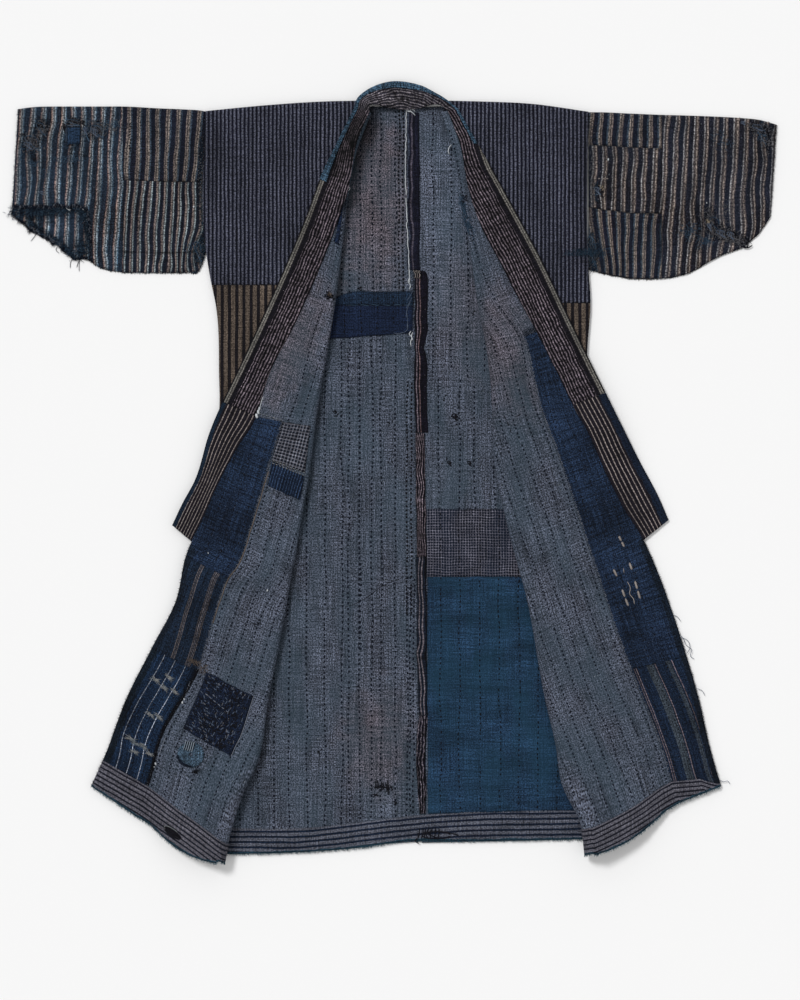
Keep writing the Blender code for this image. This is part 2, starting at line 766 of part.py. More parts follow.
def build_round_mend(front, collection):
    net, _, _ = front
    x, y, radius = ROUND_MEND
    points = [Vector((x, y, height_on_front(net, x, y) + MEND_LIFT))]
    count = 16
    for step in range(count):
        angle = 2 * math.pi * step / count
        px = x + radius * math.cos(angle)
        py = y + radius * math.sin(angle)
        points.append(Vector((px, py, height_on_front(net, px, py) + MEND_LIFT)))
    faces = [[0, 1 + step, 1 + (step + 1) % count] for step in range(count)]
    build_piece("right_mend_round", points, faces, PATCH_CLOTH, "teal_navy", collection)


def sleeve_lines(table, seams):
    """The sleeve's rows: up the back layer, over the fold and down the front layer."""
    rows = []
    for row in table:
        radius = (row.front_z - SLEEVE_BACK_Z) / 2
        line = []
        for share in (0.0, 0.5):
            x = blend(row.x + row.lean, row.x, share)
            y = blend(row.low, row.top - radius, share)
            line.append(Vector((x, y, SLEEVE_BACK_Z)))
        for angle in CROWN_STEPS:
            bend = math.radians(angle)
            y = row.top - radius * (1 - math.cos(bend))
            z = SLEEVE_BACK_Z + radius * (1 + math.sin(bend))
            line.append(Vector((row.x, y, z)))
        top = line[-1].y
        lean_share = (top - row.front_low) / (top - row.low)
        for share in seams:
            y = blend(top, row.front_low, share)
            x = row.x + row.lean * share * lean_share
            z = blend(row.front_z, min(row.front_z, SLEEVE_SEAM_Z), share)
            line.append(Vector((x, y + SEAM_GAP / 2, z)))
            line.append(Vector((x, y - SEAM_GAP / 2, z)))
        edge_z = row.front_z if row is table[0] else SLEEVE_EDGE_Z
        line.append(Vector((row.x + row.lean * lean_share, row.front_low, edge_z)))
        rows.append(line)
    return rows


def sleeve_net(side, table, seams, join):
    out = -1 if side == "right" else 1
    lines = sleeve_lines(table, seams)
    split = [p + Vector((-out * SEAM_GAP / 2, 0, 0)) for p in lines[join]]
    onward = [p + Vector((out * SEAM_GAP / 2, 0, 0)) for p in lines[join]]
    lines = lines[:join] + [split, onward] + lines[join + 1 :]
    first_seam, second_seam = SLEEVE_SEAMS
    net = Net()
    for row, line in enumerate(lines):
        for column, place in enumerate(line):
            net.points["sleeve", row, column] = place

    def zone(row, column):
        if column < CROWN or row > join:
            return "main"
        if row == join or column in (CROWN, first_seam - 1, second_seam - 1):
            return "gap"
        if column < first_seam:
            return "upper"
        if column < second_seam:
            return "middle"
        return "lower"

    net.add_block(zone, "sleeve", len(lines), len(lines[0]))
    return net


def build_sleeves(collection):
    plans = (
        ("right", RIGHT_SLEEVE, RIGHT_SLEEVE_SEAMS, RIGHT_SLEEVE_JOIN),
        ("left", LEFT_SLEEVE, LEFT_SLEEVE_SEAMS, LEFT_SLEEVE_JOIN),
    )
    for side, table, seams, join in plans:
        net = sleeve_net(side, table, seams, join)
        normals = net.normals(flip=False)
        for ending, zones in (
            ("", {"main"}),
            ("_upper", {"upper"}),
            ("_middle", {"middle"}),
            ("_lower", {"lower"}),
        ):
            name = f"{side}_sleeve{ending}"
            net_piece(name, net, normals, zones, 0, SLEEVE_CLOTH, "sleeve", collection)
    x_low, x_high, y_low, y_high = SLEEVE_MEND
    z = SLEEVE_FRONT_Z + SLEEVE_CLOTH / 2 + CURVED_GAP + PATCH_CLOTH / 2
    corners = ((x_low, y_high), (x_high, y_high), (x_low, y_low), (x_high, y_low))
    points = [Vector((x, y, z)) for x, y in corners]
    faces = grid_faces(2, 2)
    build_piece("right_sleeve_mend", points, faces, PATCH_CLOTH, "indigo", collection)


def main():
    clear_scene()
    collection = make_collection(COLLECTION_NAME)
    right_pieces = (
        ("indigo", "overlap_top_below", "indigo_foot_above", "indigo"),
        ("striped", "indigo_foot_below", "striped_foot_above", "brown_stripe"),
        ("pinstripe", "striped_foot_below", "hem", "pinstripe"),
    )
    left_pieces = (
        ("indigo", "overlap_top_below", "indigo_foot_above", "indigo"),
        ("striped", "indigo_foot_below", "hem", "brown_stripe"),
    )
    right_seams = ("brown_seam", "overlap_top", "indigo_foot", "striped_foot")
    left_seams = ("brown_seam", "overlap_top", "indigo_foot")
    right = build_body("right", right_pieces, right_seams, collection)
    left = build_body("left", left_pieces, left_seams, collection)
    build_collar(collar_stations(), collection)
    build_back_pieces(collection)
    build_front_pieces({"right": right, "left": left}, collection)
    build_sleeves(collection)


main()
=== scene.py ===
# Patched work jacket of quilted indigo cotton, laid open on its back with both fronts turned out.
# Tables are in millimetres, x to the wearer's left and y up the back; meshes are in metres.
import math
import bpy
import numpy as np
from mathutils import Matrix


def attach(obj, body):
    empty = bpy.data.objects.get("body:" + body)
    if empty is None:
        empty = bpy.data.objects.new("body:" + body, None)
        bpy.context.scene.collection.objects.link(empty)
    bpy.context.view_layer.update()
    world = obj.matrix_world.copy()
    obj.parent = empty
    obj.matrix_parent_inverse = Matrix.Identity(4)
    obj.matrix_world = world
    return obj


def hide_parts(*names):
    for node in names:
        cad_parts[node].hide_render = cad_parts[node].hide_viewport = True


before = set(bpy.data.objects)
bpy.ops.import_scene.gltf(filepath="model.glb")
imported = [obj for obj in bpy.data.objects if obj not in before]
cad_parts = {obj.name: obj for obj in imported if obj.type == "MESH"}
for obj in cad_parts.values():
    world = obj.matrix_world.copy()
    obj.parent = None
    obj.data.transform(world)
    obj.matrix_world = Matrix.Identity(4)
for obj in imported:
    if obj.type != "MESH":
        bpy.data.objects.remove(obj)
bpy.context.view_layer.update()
print("frame loaded:", len(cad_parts), "nodes")

millimetre = 0.001
frameCentre = np.array([-2.9, 6.25, 0.0])  # middle of the jacket in the tables' millimetres

# the cut: the same stations as the solids, and the heights of the layers

layers = {
    "cloth": 1.2, "sleeveCloth": 1.4, "patchCloth": 1.0, "collarCloth": 2.7, "seamGap": 0.3,
    "backZ": 1.35, "frontSideZ": 4.4, "frontZ": 6.0, "shoulderZ": 7.6, "lapelRise": 4.6,
    "floorLapelZ": 1.8, "sideDropStart": 18.0, "sideDropLength": 75.0,
    "sleeveBackZ": 0.7, "sleeveFrontZ": 3.4, "sleeveEdgeZ": 2.4,
}
outerLift = -(layers["seamGap"] + layers["cloth"]) / 2
liningLift = (layers["seamGap"] + layers["cloth"]) / 2
liningFace = liningLift + layers["cloth"] / 2
patchLift = liningFace + 0.5 + layers["patchCloth"] / 2
backPatchZ = layers["backZ"] + liningFace + layers["seamGap"] + layers["patchCloth"] / 2

body = {
    "centreTop": (25.0, 566.0), "centreLean": -0.013, "innerShare": 0.72, "necklineY": 572.0,
    "rightSide": (  # y, x down the side seam
        (-592, -290), (-360, -292), (-190, -295), (-38, -301), (24, -296), (78, -277), (164, -274),
        (264, -279), (303, -287), (346, -294), (600, -294),
    ),
    "leftSide": (
        (-592, 318), (-360, 316), (-190, 313), (-38, 308), (86, 302), (185, 296), (272, 301),
        (319, 298), (600, 298),
    ),
    "backRows": (  # y at the right side, right centre, left centre and left side
        (-588, -567, -569, -563), (-360, -360, -360, -360), (-190, -190, -190, -190),
        (-38, -38, -38, -38), (24, 24, 24, 24), (78, 78, 78, 86), (164, 164, 164, 185),
        (264, 264, 264, 272), (346, 346, 346, 319), (470, 480, 480, 470), (535, 570, 570, 535),
    ),
    "rightShoulder": (-60, (563, 572, 578, 579)),  # x at the neck, heights from armhole to neck
    "leftShoulder": (82, (562, 574, 578, 579)),
    "shoulderShares": (0, 0.4, 0.8, 1),
}

# name, side y, roll x y, overlap seam x y, overlap edge x y, collar x y, height of the roll, crest
rightFront = (
    ("neck", 546, -39, 561, -46.5, 562.5, -49, 563, -65, 567, 5.5, 0),
    ("collarBone", 505, -61, 505, -69.5, 507, -72, 508, -95, 507, 8, 0),
    ("chest", 440, -74, 439, -82, 442, -85, 443, -118, 458, 10, 0),
    ("underArm", 373, -82, 373, -90, 378, -95, 382, -139, 401, 11, 0),
    ("brownSeam", 295, -91, 295, -106, 306, -121, 312, -168, 331, 12, 0),
    ("waist", 210, -104, 210, -133, 222, -157, 232, -204, 250, 12, 0),
    ("hip", 128, -118, 128, -157, 140, -197, 153, -241, 170, 12, 0),
    ("overlapTop", 75, -126, 75, -175, 83, -216, 91, -268, 114, 12, 0),
    ("checkFoot", 1, -135, 1, -194, 22, -245, 43, -289, 64, 12, 0),
    ("collarWaist", -84, -150, -84, -215, -50, -279, -22, -312, -10, 12, 0),
    ("collarFlare", -126, -157, -126, -228, -92, -296, -61, -330, -43, 12, 0),
    ("collarEnd", -168, -165, -168, -242, -134, -316, -102, -346, -77, 12, 0),
    ("indigoFoot", -198, -170, -198, -259, -159, -325, -125, None, None, 12, 0),
    ("thigh", -266, -182, -266, -281, -220, -340, -193, None, None, 12, 0),
    ("stripedFoot", -345, -198, -345, -307, -303, -378, -267, None, None, 13, 0),
    ("low", -444, -215, -444, -358, -394, -420, -351, None, None, 16, 0),
    ("hemRise", -491, -237, -491, -369, -422, -436, -394, None, None, 20, 0),
    ("hemTop", -568, -260, -568, -384, -481, -454, -441, None, None, 25, 0),
    ("hem", -595, -266, -597, -401, -528, -472, -481, None, None, 26, -12),
)
leftFront = (
    ("neck", 546, 70, 562, 77.5, 563, 80, 563.5, 96, 566, 5.5, 0),
    ("collarBone", 508, 88, 508, 96, 510, 99, 511, 126, 513, 7, 0),
    ("chest", 443, 101, 443, 108.5, 446, 111, 447, 155, 463, 8, 0),
    ("underArm", 373, 112, 373, 124, 380, 132, 384, 183, 412, 8, 0),
    ("ribs", 319, 121, 311, 142, 318, 164, 323, 216, 351, 8, 0),
    ("brownSeam", 267, 127, 267, 156, 280, 181, 289, 233, 317, 9, 0),
    ("overlapTop", 202, 140, 202, 198, 214, 217, 222, 266, 247, 9, 0),
    ("waist", 148, 147, 148, 212, 156, 246, 165, 295, 187, 10, 0),
    ("clothChange", 98, 150, 98, 225, 103, 273, 109, 324, 128, 10, 0),
    ("hip", 12, 154, 12, 247, 44, 298, 64, 349, 78, 11, 0),
    ("seat", -46, 166, -46, 266, -12, 322, 9, 375, 26, 12, 0),
    ("knee", -108, 181, -108, 285, -70, 350, -47, 403, -26, 12, 0),
    ("collarEnd", -181, 201, -181, 306, -134, 383, -100, 422, -69, 12, 0),
    ("indigoFoot", -348, 232, -348, 363, -300, 450, -280, None, None, 14, 0),
    ("low", -418, 248, -418, 394, -376, 470, -351, None, None, 18, 0),
    ("hemRise", -472, 256, -472, 412, -425, 484, -413, None, None, 22, 0),
    ("hemTop", -545, 288, -545, 426, -474, 499, -467, None, None, 28, -4),
    ("hem", -578, 293, -585, 437, -507, 503, -481, None, None, 29, -10),
)
neckRows = (  # collar round the back of the neck: inner x y, outer x y, height
    (-40, 571, -59, 584, 11.4), (-28, 572, -40, 599, 8.6), (-9, 568, -17, 608, 6.2),
    (14, 566, 6, 610, 5.4), (37, 568, 37, 604, 6.2), (56, 573, 59, 593, 8.6),
    (69, 572, 78, 581, 11.4),
)
rightSleeve = (  # x, top y, underside y, the front layer's own lower edge, its height, lean
    (-294.3, 563, 347, 347, 5.1, 0), (-299, 564, 331, 331, 4.9, 0), (-305, 565, 317, 317, 4.6, 0),
    (-320, 566, 314.5, 314.5, 4.3, 0), (-366, 568, 314, 314, 3.8, 0),
    (-423, 571, 315, 315, 3.6, 0), (-459, 571, 322, 322, 3.4, 0), (-468, 571, 327, 327, 3.4, 0),
    (-478, 571, 332, 415, 3.4, 0), (-502, 571, 338, 419, 3.4, 0), (-526, 571, 356, 420, 3.4, 0),
    (-562, 570, 377, 418, 3.4, 0), (-585, 567, 405, 420, 3.4, -10),
)
leftSleeve = (
    (298.3, 562, 319, 319, 5.1, 0), (316, 562, 314, 314, 4.6, 0), (363, 560, 305, 305, 3.8, 0),
    (412, 558, 305, 305, 3.6, 0), (450, 557, 312, 312, 3.4, 0), (502, 555, 340, 340, 3.4, 0),
    (536, 553, 353, 353, 3.4, 0), (564, 550, 373, 373, 3.4, -3), (589, 543, 400, 400, 3.4, -9),
)
resolution = {"step": 4.8, "under": 26, "roll": 10, "lapel": 34, "overlap": 24, "collar": 26, "neck": 57,
              "outerBack": 40, "innerBack": 18, "sleeveStep": 3.4, "sleeveBack": 50, "sleeveFold": 6,
              "sleeveFront": 50}

# curves, noise and grids


def smoothAt(knots, values, at):
    # a cubic through the knots, its slopes taken from their neighbours
    knots = np.asarray(knots, float)
    values = np.asarray(values, float)
    at = np.asarray(at, float)
    slope = np.gradient(values, knots)
    place = np.clip(np.searchsorted(knots, at, side="right") - 1, 0, len(knots) - 2)
    span = knots[place + 1] - knots[place]
    t = np.clip((at - knots[place]) / span, 0, 1)
    start = (1 + 2 * t) * (1 - t) ** 2 * values[place] + t * (1 - t) ** 2 * span * slope[place]
    end = t ** 2 * (3 - 2 * t) * values[place + 1] + t ** 2 * (t - 1) * span * slope[place + 1]
    return start + end


def ease(share):
    share = np.clip(share, 0, 1)
    return share * share * (3 - 2 * share)


def softNoise(x, y, sizeX, sizeY, seed):
    # random heights on a lattice with smooth steps between them, from -1 to 1
    lattice = np.random.default_rng(seed).uniform(-1, 1, (64, 64))
    across = np.asarray(x, float) / sizeX + 211.3
    along = np.asarray(y, float) / sizeY + 173.7
    column = np.floor(across).astype(int)
    row = np.floor(along).astype(int)
    blendX = ease(across - column)
    blendY = ease(along - row)
    low = lattice[column % 64, row % 64] * (1 - blendX) + lattice[(column + 1) % 64, row % 64] * blendX
    high = (lattice[column % 64, (row + 1) % 64] * (1 - blendX)
            + lattice[(column + 1) % 64, (row + 1) % 64] * blendX)
    return low * (1 - blendY) + high * blendY


def finePositions(knots, step):
    # the knots with evenly spaced places between them, and where each knot ended up
    places = []
    index = []
    for first, second in zip(knots, knots[1:]):
        count = max(1, int(round((second - first) / step)))
        index.append(len(places))
        places += [first + (second - first) * k / count for k in range(count)]
    index.append(len(places))
    places.append(knots[-1])
    return np.array(places), index


def lengthAlong(points):
    return np.concatenate([[0], np.cumsum(np.linalg.norm(np.diff(points, axis=0), axis=1))])


def unit(vectors):
    return vectors / np.maximum(np.linalg.norm(vectors, axis=-1, keepdims=True), 1e-9)


def gridNormals(place):
    return unit(np.cross(np.gradient(place, axis=1), np.gradient(place, axis=0)))


def runLengths(place, axis):
    # distance travelled along the rows or the columns of a grid
    steps = np.linalg.norm(np.diff(place, axis=axis), axis=2)
    run = np.cumsum(steps, axis=axis)
    pad = [(0, 0), (0, 0)]
    pad[axis] = (1, 0)
    return np.pad(run, pad)


def withHeight(plan, z):
    return np.concatenate([plan, z[..., None]], axis=-1)


def between(first, second, share):
    # the points at each share of the way from one line of points to another
    share = share[None, :, None]
    return first[:, None] * (1 - share) + second[:, None] * share


def makeGrid(place, u, v, upAt=None):
    # upAt: a row and column where the cloth faces up, and so all the normals are turned to
    normal = gridNormals(place)
    if upAt and normal[upAt][2] < 0:
        normal *= -1
    return {"place": place, "normal": normal, "u": u, "v": v, "fade": np.zeros(u.shape),
            "warm": np.zeros(u.shape)}


def paint(grid, key, spots):
    # wear, stains and painted shade: middle x y, half width, half height, lean in degrees, amount
    x, y = grid["place"][:, :, 0], grid["place"][:, :, 1]
    for middleX, middleY, halfWidth, halfHeight, lean, amount in spots:
        turn = math.radians(lean)
        across = ((x - middleX) * math.cos(turn) + (y - middleY) * math.sin(turn)) / halfWidth
        along = ((y - middleY) * math.cos(turn) - (x - middleX) * math.sin(turn)) / halfHeight
        uneven = 0.25 * softNoise(x, y, 9, 11, 77)
        grid[key] += amount * ease(1.3 - np.hypot(across, along) + uneven)
    grid[key] = np.clip(grid[key], -1, 1)


def part(grid, rows=(0, None), columns=(0, None)):
    # from one row or column to another, both kept; None is the last one
    cut = tuple(slice(first, last if last is None else last + 1) for first, last in (rows, columns))
    return {key: value[cut] for key, value in grid.items()}


edgesOf = {"top": (np.s_[0], np.s_[1]), "foot": (np.s_[-1], np.s_[-2]),  # each edge, and the line beside it
           "left": (np.s_[:, 0], np.s_[:, 1]), "right": (np.s_[:, -1], np.s_[:, -2])}
allEdges = ("left", "right", "top", "foot")


def trim(grid, sides):
    # draws the named edges of a piece in by half a seam gap
    place = grid["place"].copy()
    for side in sides:
        edge, inside = edgesOf[side]
        step = place[inside] - place[edge]
        length = np.maximum(np.linalg.norm(step, axis=1, keepdims=True), 1e-6)
        place[edge] += step / length * (layers["seamGap"] / 2)
    return dict(grid, place=place)


def sample(grid, i, j):
    # a grid read at fractional rows i and columns j
    low = np.clip(np.floor(i).astype(int), 0, grid["u"].shape[0] - 2)
    left = np.clip(np.floor(j).astype(int), 0, grid["u"].shape[1] - 2)
    result = {}
    for key, value in grid.items():
        down, across = i - low, j - left
        if value.ndim == 3:
            down, across = down[:, :, None], across[:, :, None]
        upper = value[low, left] * (1 - across) + value[low, left + 1] * across
        lower = value[low + 1, left] * (1 - across) + value[low + 1, left + 1] * across
        result[key] = upper * (1 - down) + lower * down
    result["normal"] /= np.linalg.norm(result["normal"], axis=2, keepdims=True)
    return result


# meshes


def edgeDistance(grid, free):
    # how far each point lies from the free edges of its block, in millimetres, up to 30
    down = runLengths(grid["place"], 0)
    across = runLengths(grid["place"], 1)
    runs = {"top": down, "foot": down[-1:] - down, "left": across, "right": across[:, -1:] - across}
    distance = np.full(grid["u"].shape, 30.0)
    for side in free:
        distance = np.minimum(distance, runs[side])
    return distance + grid.get("guard", 0)


def makeSheet(node, blocks, lift, cloth, thickness="patchCloth", flat=None):
    # blocks: grids that share edges, with the sides of each that are free
    # flat: the width and length of the whole cut, where they are more than those of the first block
    name = node + "_cloth"
    points, faces = [], []
    marks = {"u": [], "v": [], "fade": [], "warm": [], "edge": []}
    start = 0
    area = 0.0
    for grid, free in blocks:
        place = grid["place"] + grid["normal"] * lift
        rows, columns = grid["u"].shape
        index = np.arange(rows * columns).reshape(rows, columns) + start
        quads = np.stack([index[:-1, :-1], index[:-1, 1:], index[1:, 1:], index[1:, :-1]], axis=2)
        if np.mean(np.sum(gridNormals(grid["place"]) * grid["normal"], axis=2)) > 0:
            quads = quads[:, :, ::-1]
        diagonal = place[1:, 1:] - place[:-1, :-1]
        other = place[1:, :-1] - place[:-1, 1:]
        area += float(np.linalg.norm(np.cross(diagonal, other), axis=2).sum() / 2)
        points.append(place.reshape(-1, 3))
        faces.append(quads.reshape(-1, 4))
        for key in ("u", "v", "fade", "warm"):
            marks[key].append(grid[key].ravel())
        marks["edge"].append(edgeDistance(grid, free).ravel())
        start += rows * columns
    points = (np.concatenate(points) - frameCentre) * millimetre
    faces = np.concatenate(faces)
    marks = {key: np.concatenate(value) for key, value in marks.items()}
    yarns = np.stack([marks["u"], marks["v"]], axis=1)[faces.ravel()] * millimetre
    if len(blocks) > 1:  # points that two blocks share become one
        sameWithin = 2e-5
        _, first, inverse = np.unique(
            np.round(points / sameWithin).astype(int), axis=0, return_index=True, return_inverse=True)
        points, faces = points[first], inverse.ravel()[faces]
        marks = {key: value[first] for key, value in marks.items()}
    mesh = bpy.data.meshes.new(name)
    mesh.from_pydata(points.tolist(), [], faces.tolist())
    layer = mesh.uv_layers.new(name="cloth")
    layer.data.foreach_set("uv", yarns.astype(np.float32).ravel())
    for key in ("fade", "warm", "edge"):
        attribute = mesh.attributes.new(key, "FLOAT", "POINT")
        attribute.data.foreach_set("value", marks[key].astype(np.float32))
    mesh.materials.append(cloths[cloth])
    mesh.shade_smooth()
    piece = bpy.data.objects.new(name, mesh)
    bpy.context.scene.collection.objects.link(piece)
    wall = piece.modifiers.new("wall", "SOLIDIFY")
    wall.thickness = layers[thickness] * millimetre
    wall.offset = 0
    # the cut: its widest and longest measure, and its area where it isn't a rectangle
    area = area * millimetre ** 2
    width, length = flat or (
        max(float(runLengths(grid["place"], 1)[:, -1].max()) for grid, _ in blocks) * millimetre,
        float(runLengths(blocks[0][0]["place"], 0)[-1].max()) * millimetre)
    if width * length < area:
        length = area / width * 1.002
    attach(piece, "root")
    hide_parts(node)


# materials


def linear(hexColour):
    parts = [int(hexColour[k:k + 2], 16) / 255 for k in (1, 3, 5)]
    return tuple(c / 12.92 if c <= 0.04045 else ((c + 0.055) / 1.055) ** 2.4 for c in parts) + (1.0,)


def addNode(tree, kind, inputs=None, **settings):
    node = tree.nodes.new("ShaderNode" + kind)
    for key, value in settings.items():
        setattr(node, key, value)
    for key, value in (inputs or {}).items():
        if isinstance(value, bpy.types.NodeSocket):
            tree.links.new(value, node.inputs[key])
        else:
            node.inputs[key].default_value = value
    return node


def setStops(ramp, stops):
    # stops: place from 0 to 1 and colour
    elements = ramp.color_ramp.elements
    while len(elements) > 1:
        elements.remove(elements[-1])
    elements[0].position = stops[0][0]
    elements[0].color = linear(stops[0][1])
    for place, colour in stops[1:]:
        elements.new(place).color = linear(colour)


def bandStops(bands, repeat, soft):
    # bands: start and end in millimetres and colour, over the first colour, which is the ground
    ground = bands[0]
    stops = [(0.0, ground)]
    last = None
    for start, end, colour in bands[1:]:
        if start == last:  # the bands touch
            stops.pop()
        else:
            stops.append(((start - soft) / repeat, ground))
        stops += [((start + soft) / repeat, colour), ((end - soft) / repeat, colour),
                  ((end + soft) / repeat, ground)]
        last = end
    return [(min(max(place, 0.0), 1.0), colour) for place, colour in stops]


plainLook = {  # what a cloth is like where its own values don't say; lengths in millimetres
    "drift": ((70, 2.0), (9, 0.5)), "soft": 0.25, "yarn": 1.9, "warpStreak": 0.35, "weftStreak": 0.25,
    "grain": 0.55, "cloud": 0.25, "cloudX": 45.0, "cloudY": 90.0, "rim": 0.7, "rimWidth": 3.0,
    "bump": 0.5, "pucker": 0.5, "roughness": 0.9, "sheen": 0.03,
}


def cotton(name, look):
    # hand-loomed cotton in plain weave: matt, a little hairy, its yarn uneven in thickness and dye
    look = dict(plainLook, **look)
    material = bpy.data.materials.new(name)
    material.use_nodes = True
    tree = material.node_tree
    shader = tree.nodes["Principled BSDF"]
    for key, value in (("Roughness", look["roughness"]), ("Specular IOR Level", 0.12),
                       ("Sheen Weight", look["sheen"]), ("Sheen Roughness", 0.6),
                       ("Sheen Tint", linear("#9aa4b8"))):
        shader.inputs[key].default_value = value

    def vectors(operation, *values):
        return addNode(tree, "VectorMath", dict(enumerate(values)), operation=operation).outputs[0]

    def numbers(operation, *values):
        return addNode(tree, "Math", dict(enumerate(values)), operation=operation).outputs[0]

    def noise(source, across, along, detail):
        # patches of about across by along millimetres
        scaled = vectors("MULTIPLY", source, (1 / across, 1 / along, 1))
        return addNode(tree, "TexNoise", {"Vector": scaled, "Scale": 1.0, "Detail": detail}).outputs

    def spread(value, low, high, start, end, **settings):
        return addNode(tree, "MapRange", {0: value, 1: low, 2: high, 3: start, 4: end}, **settings).outputs[0]

    def mark(key):
        return addNode(tree, "Attribute", attribute_name=key).outputs["Fac"]

    def mix(share, first, second):
        return addNode(tree, "Mix", {0: share, 6: first, 7: second}, data_type="RGBA").outputs[2]

    def shaded(colour, amount):
        return addNode(tree, "VectorMath", {0: colour, "Scale": amount}, operation="SCALE").outputs[0]

    def stripes(source, repeat, bands, soft):
        ramp = addNode(tree, "ValToRGB", {0: numbers("FRACT", numbers("DIVIDE", source, repeat))})
        setStops(ramp, bandStops(bands, repeat, soft))
        return ramp.outputs[0]

    inMm = vectors("MULTIPLY", addNode(tree, "UVMap", uv_map="cloth").outputs[0], (1000, 1000, 0))
    drifted = inMm  # yarns drift from straight: slowly, and again over a short length
    for size, amount in look["drift"]:
        centred = vectors("SUBTRACT", noise(inMm, size, size / 0.6, 2.0)["Color"], (0.5, 0.5, 0.5))
        drifted = vectors("MULTIPLY_ADD", centred, (amount * 2, amount * 2, 0), drifted)
    axes = addNode(tree, "SeparateXYZ", {0: drifted}).outputs
    straightAxes = addNode(tree, "SeparateXYZ", {0: inMm}).outputs

    past = 1.0
    if "warp" in look:
        source = straightAxes if "beyond" in look else axes
        colour = stripes(source[0], look["warpRepeat"], look["warp"], look["soft"])
        if "beyond" in look:  # past a distance from the edge the bands give way to narrower ones
            start, repeat, bands = look["beyond"]
            past = numbers("GREATER_THAN", axes[0], start)
            colour = mix(past, colour, stripes(axes[0], repeat, bands, plainLook["soft"]))
    else:
        colour = addNode(tree, "RGB").outputs[0]
        colour.default_value = linear(look["colour"])
    if "weft" in look:
        colour = mix(0.5, colour, stripes(axes[1], look["weftRepeat"], look["weft"], look["soft"]))

    # uneven yarn: long streaks along the warp, across along the weft, and the grain of the weave,
    # drawn at about twice its real thread spacing of 0.8 mm so that it shows
    yarn = look["yarn"]
    shades = []
    for across, along, strength, detail in (
        (yarn, 80.0, look["warpStreak"], 1.0), (45.0, yarn, look["weftStreak"], 1.0),
        (yarn * 0.9, yarn * 1.2, look["grain"], 0.0), (look["cloudX"], look["cloudY"], look["cloud"], 3.0),
    ):
        value = noise(drifted, across, along, detail)[0]
        shades.append(spread(value, 0.33, 0.67, 1 - strength, 1 + strength))
    shade = shades[0]
    for factor in shades[1:]:
        shade = numbers("MULTIPLY", shade, factor)
    if "warmTo" in look:  # browner where the lining has aged
        colour = mix(mark("warm"), colour, linear(look["warmTo"]))

    # wear and painted shade on the piece: faded where positive, darker where negative, from dirt in some
    # places and painted shadow in others
    shade = numbers("MULTIPLY", shade, spread(mark("fade"), -1.0, 1.0, 0.0, 2.0))
    edge = mark("edge")
    rim = spread(edge, 0.0, look["rimWidth"], look["rim"], 1.0, interpolation_type="SMOOTHSTEP")
    shade = numbers("MULTIPLY", shade, rim)
    colour = shaded(colour, shade)
    if "breaks" in look:  # painted shade of the puckers: noise patches cut across the lines and darken them
        size, strength = look["breaks"]
        dark = spread(noise(inMm, size * 2.2, size, 2.0)[0], 0.4, 0.56, strength, 0.0)
        colour = shaded(colour, numbers("SUBTRACT", 1.0, numbers("MULTIPLY", dark, past)))
    if "edging" in look:  # the outer cloth turned in along the free edge
        width, edging = look["edging"]
        ragged = numbers("MULTIPLY_ADD", noise(inMm, 12, 12, 2.0)[0], 5.0, edge)
        inside = spread(ragged, width + 2.2, width + 2.8, 1.0, 0.0)
        colour = mix(inside, colour, shaded(linear(edging)[:3], shade))
    if "tint" in look:  # a second dye that shows in soft clouds
        tint, amount = look["tint"]
        colour = mix(spread(noise(drifted, 60, 120, 3.0)[0], 0.35, 0.65, 0.0, amount), colour, linear(tint))
    if "fleck" in look:  # slubs and broken yarn ends that took no dye
        fleck, size, level = look["fleck"]
        share = spread(noise(drifted, size, size * 2, 1.0)[0], level, level + 0.05, 0.0, 0.75)
        colour = mix(share, colour, linear(fleck))
    tree.links.new(colour, shader.inputs["Base Color"])

    # relief of the yarns, under half a millimetre deep, and of the small puckers that quilting draws up
    height = numbers("ADD", numbers("ADD", shades[0], shades[2]), shades[1])
    bump = addNode(tree, "Bump", {"Height": height, "Strength": look["bump"], "Distance": 0.0004})
    pucker = noise(inMm, 11, 8, 2.0)[0]
    puckered = addNode(tree, "Bump", {"Height": pucker, "Strength": look["pucker"], "Distance": 0.004,
                                      "Normal": bump.outputs[0]})
    tree.links.new(puckered.outputs[0], shader.inputs["Normal"])
    return material


yarnDrift = ((70, 1.8), (14, 0.7), (5, 0.3))
brownEnd = {"warp": ("#17141b", (2.6, 3.8, "#847b77")), "grain": 0.5, "warpStreak": 0.3, "cloud": 0.15,
            "pucker": 0.6}
overlapLook = {"warpRepeat": 100.0, "grain": 0.6, "warpStreak": 0.4, "cloud": 0.3, "drift": yarnDrift,
               "fleck": ("#6d7484", 1.7, 0.74), "edging": (9.0, "#0f1620")}
stripLook = {"warpRepeat": 60.0, "grain": 0.5, "warpStreak": 0.4, "breaks": (5.0, 0.4)}
linedStrip = {"grain": 0.5, "warpStreak": 0.4, "cloud": 0.3, "pucker": 1.0}
hemLook = {"grain": 0.5, "warpStreak": 0.25, "weftStreak": 0.3, "cloud": 0.2,
           "drift": ((60, 2.2), (12, 0.9), (5, 0.3)), "edging": (3.0, "#1f3846")}
sleeveLook = {"warpRepeat": 15.6, "grain": 0.75, "warpStreak": 0.4, "cloud": 0.35, "soft": 0.2, "pucker": 1.0,
              "breaks": (7.0, 0.25)}
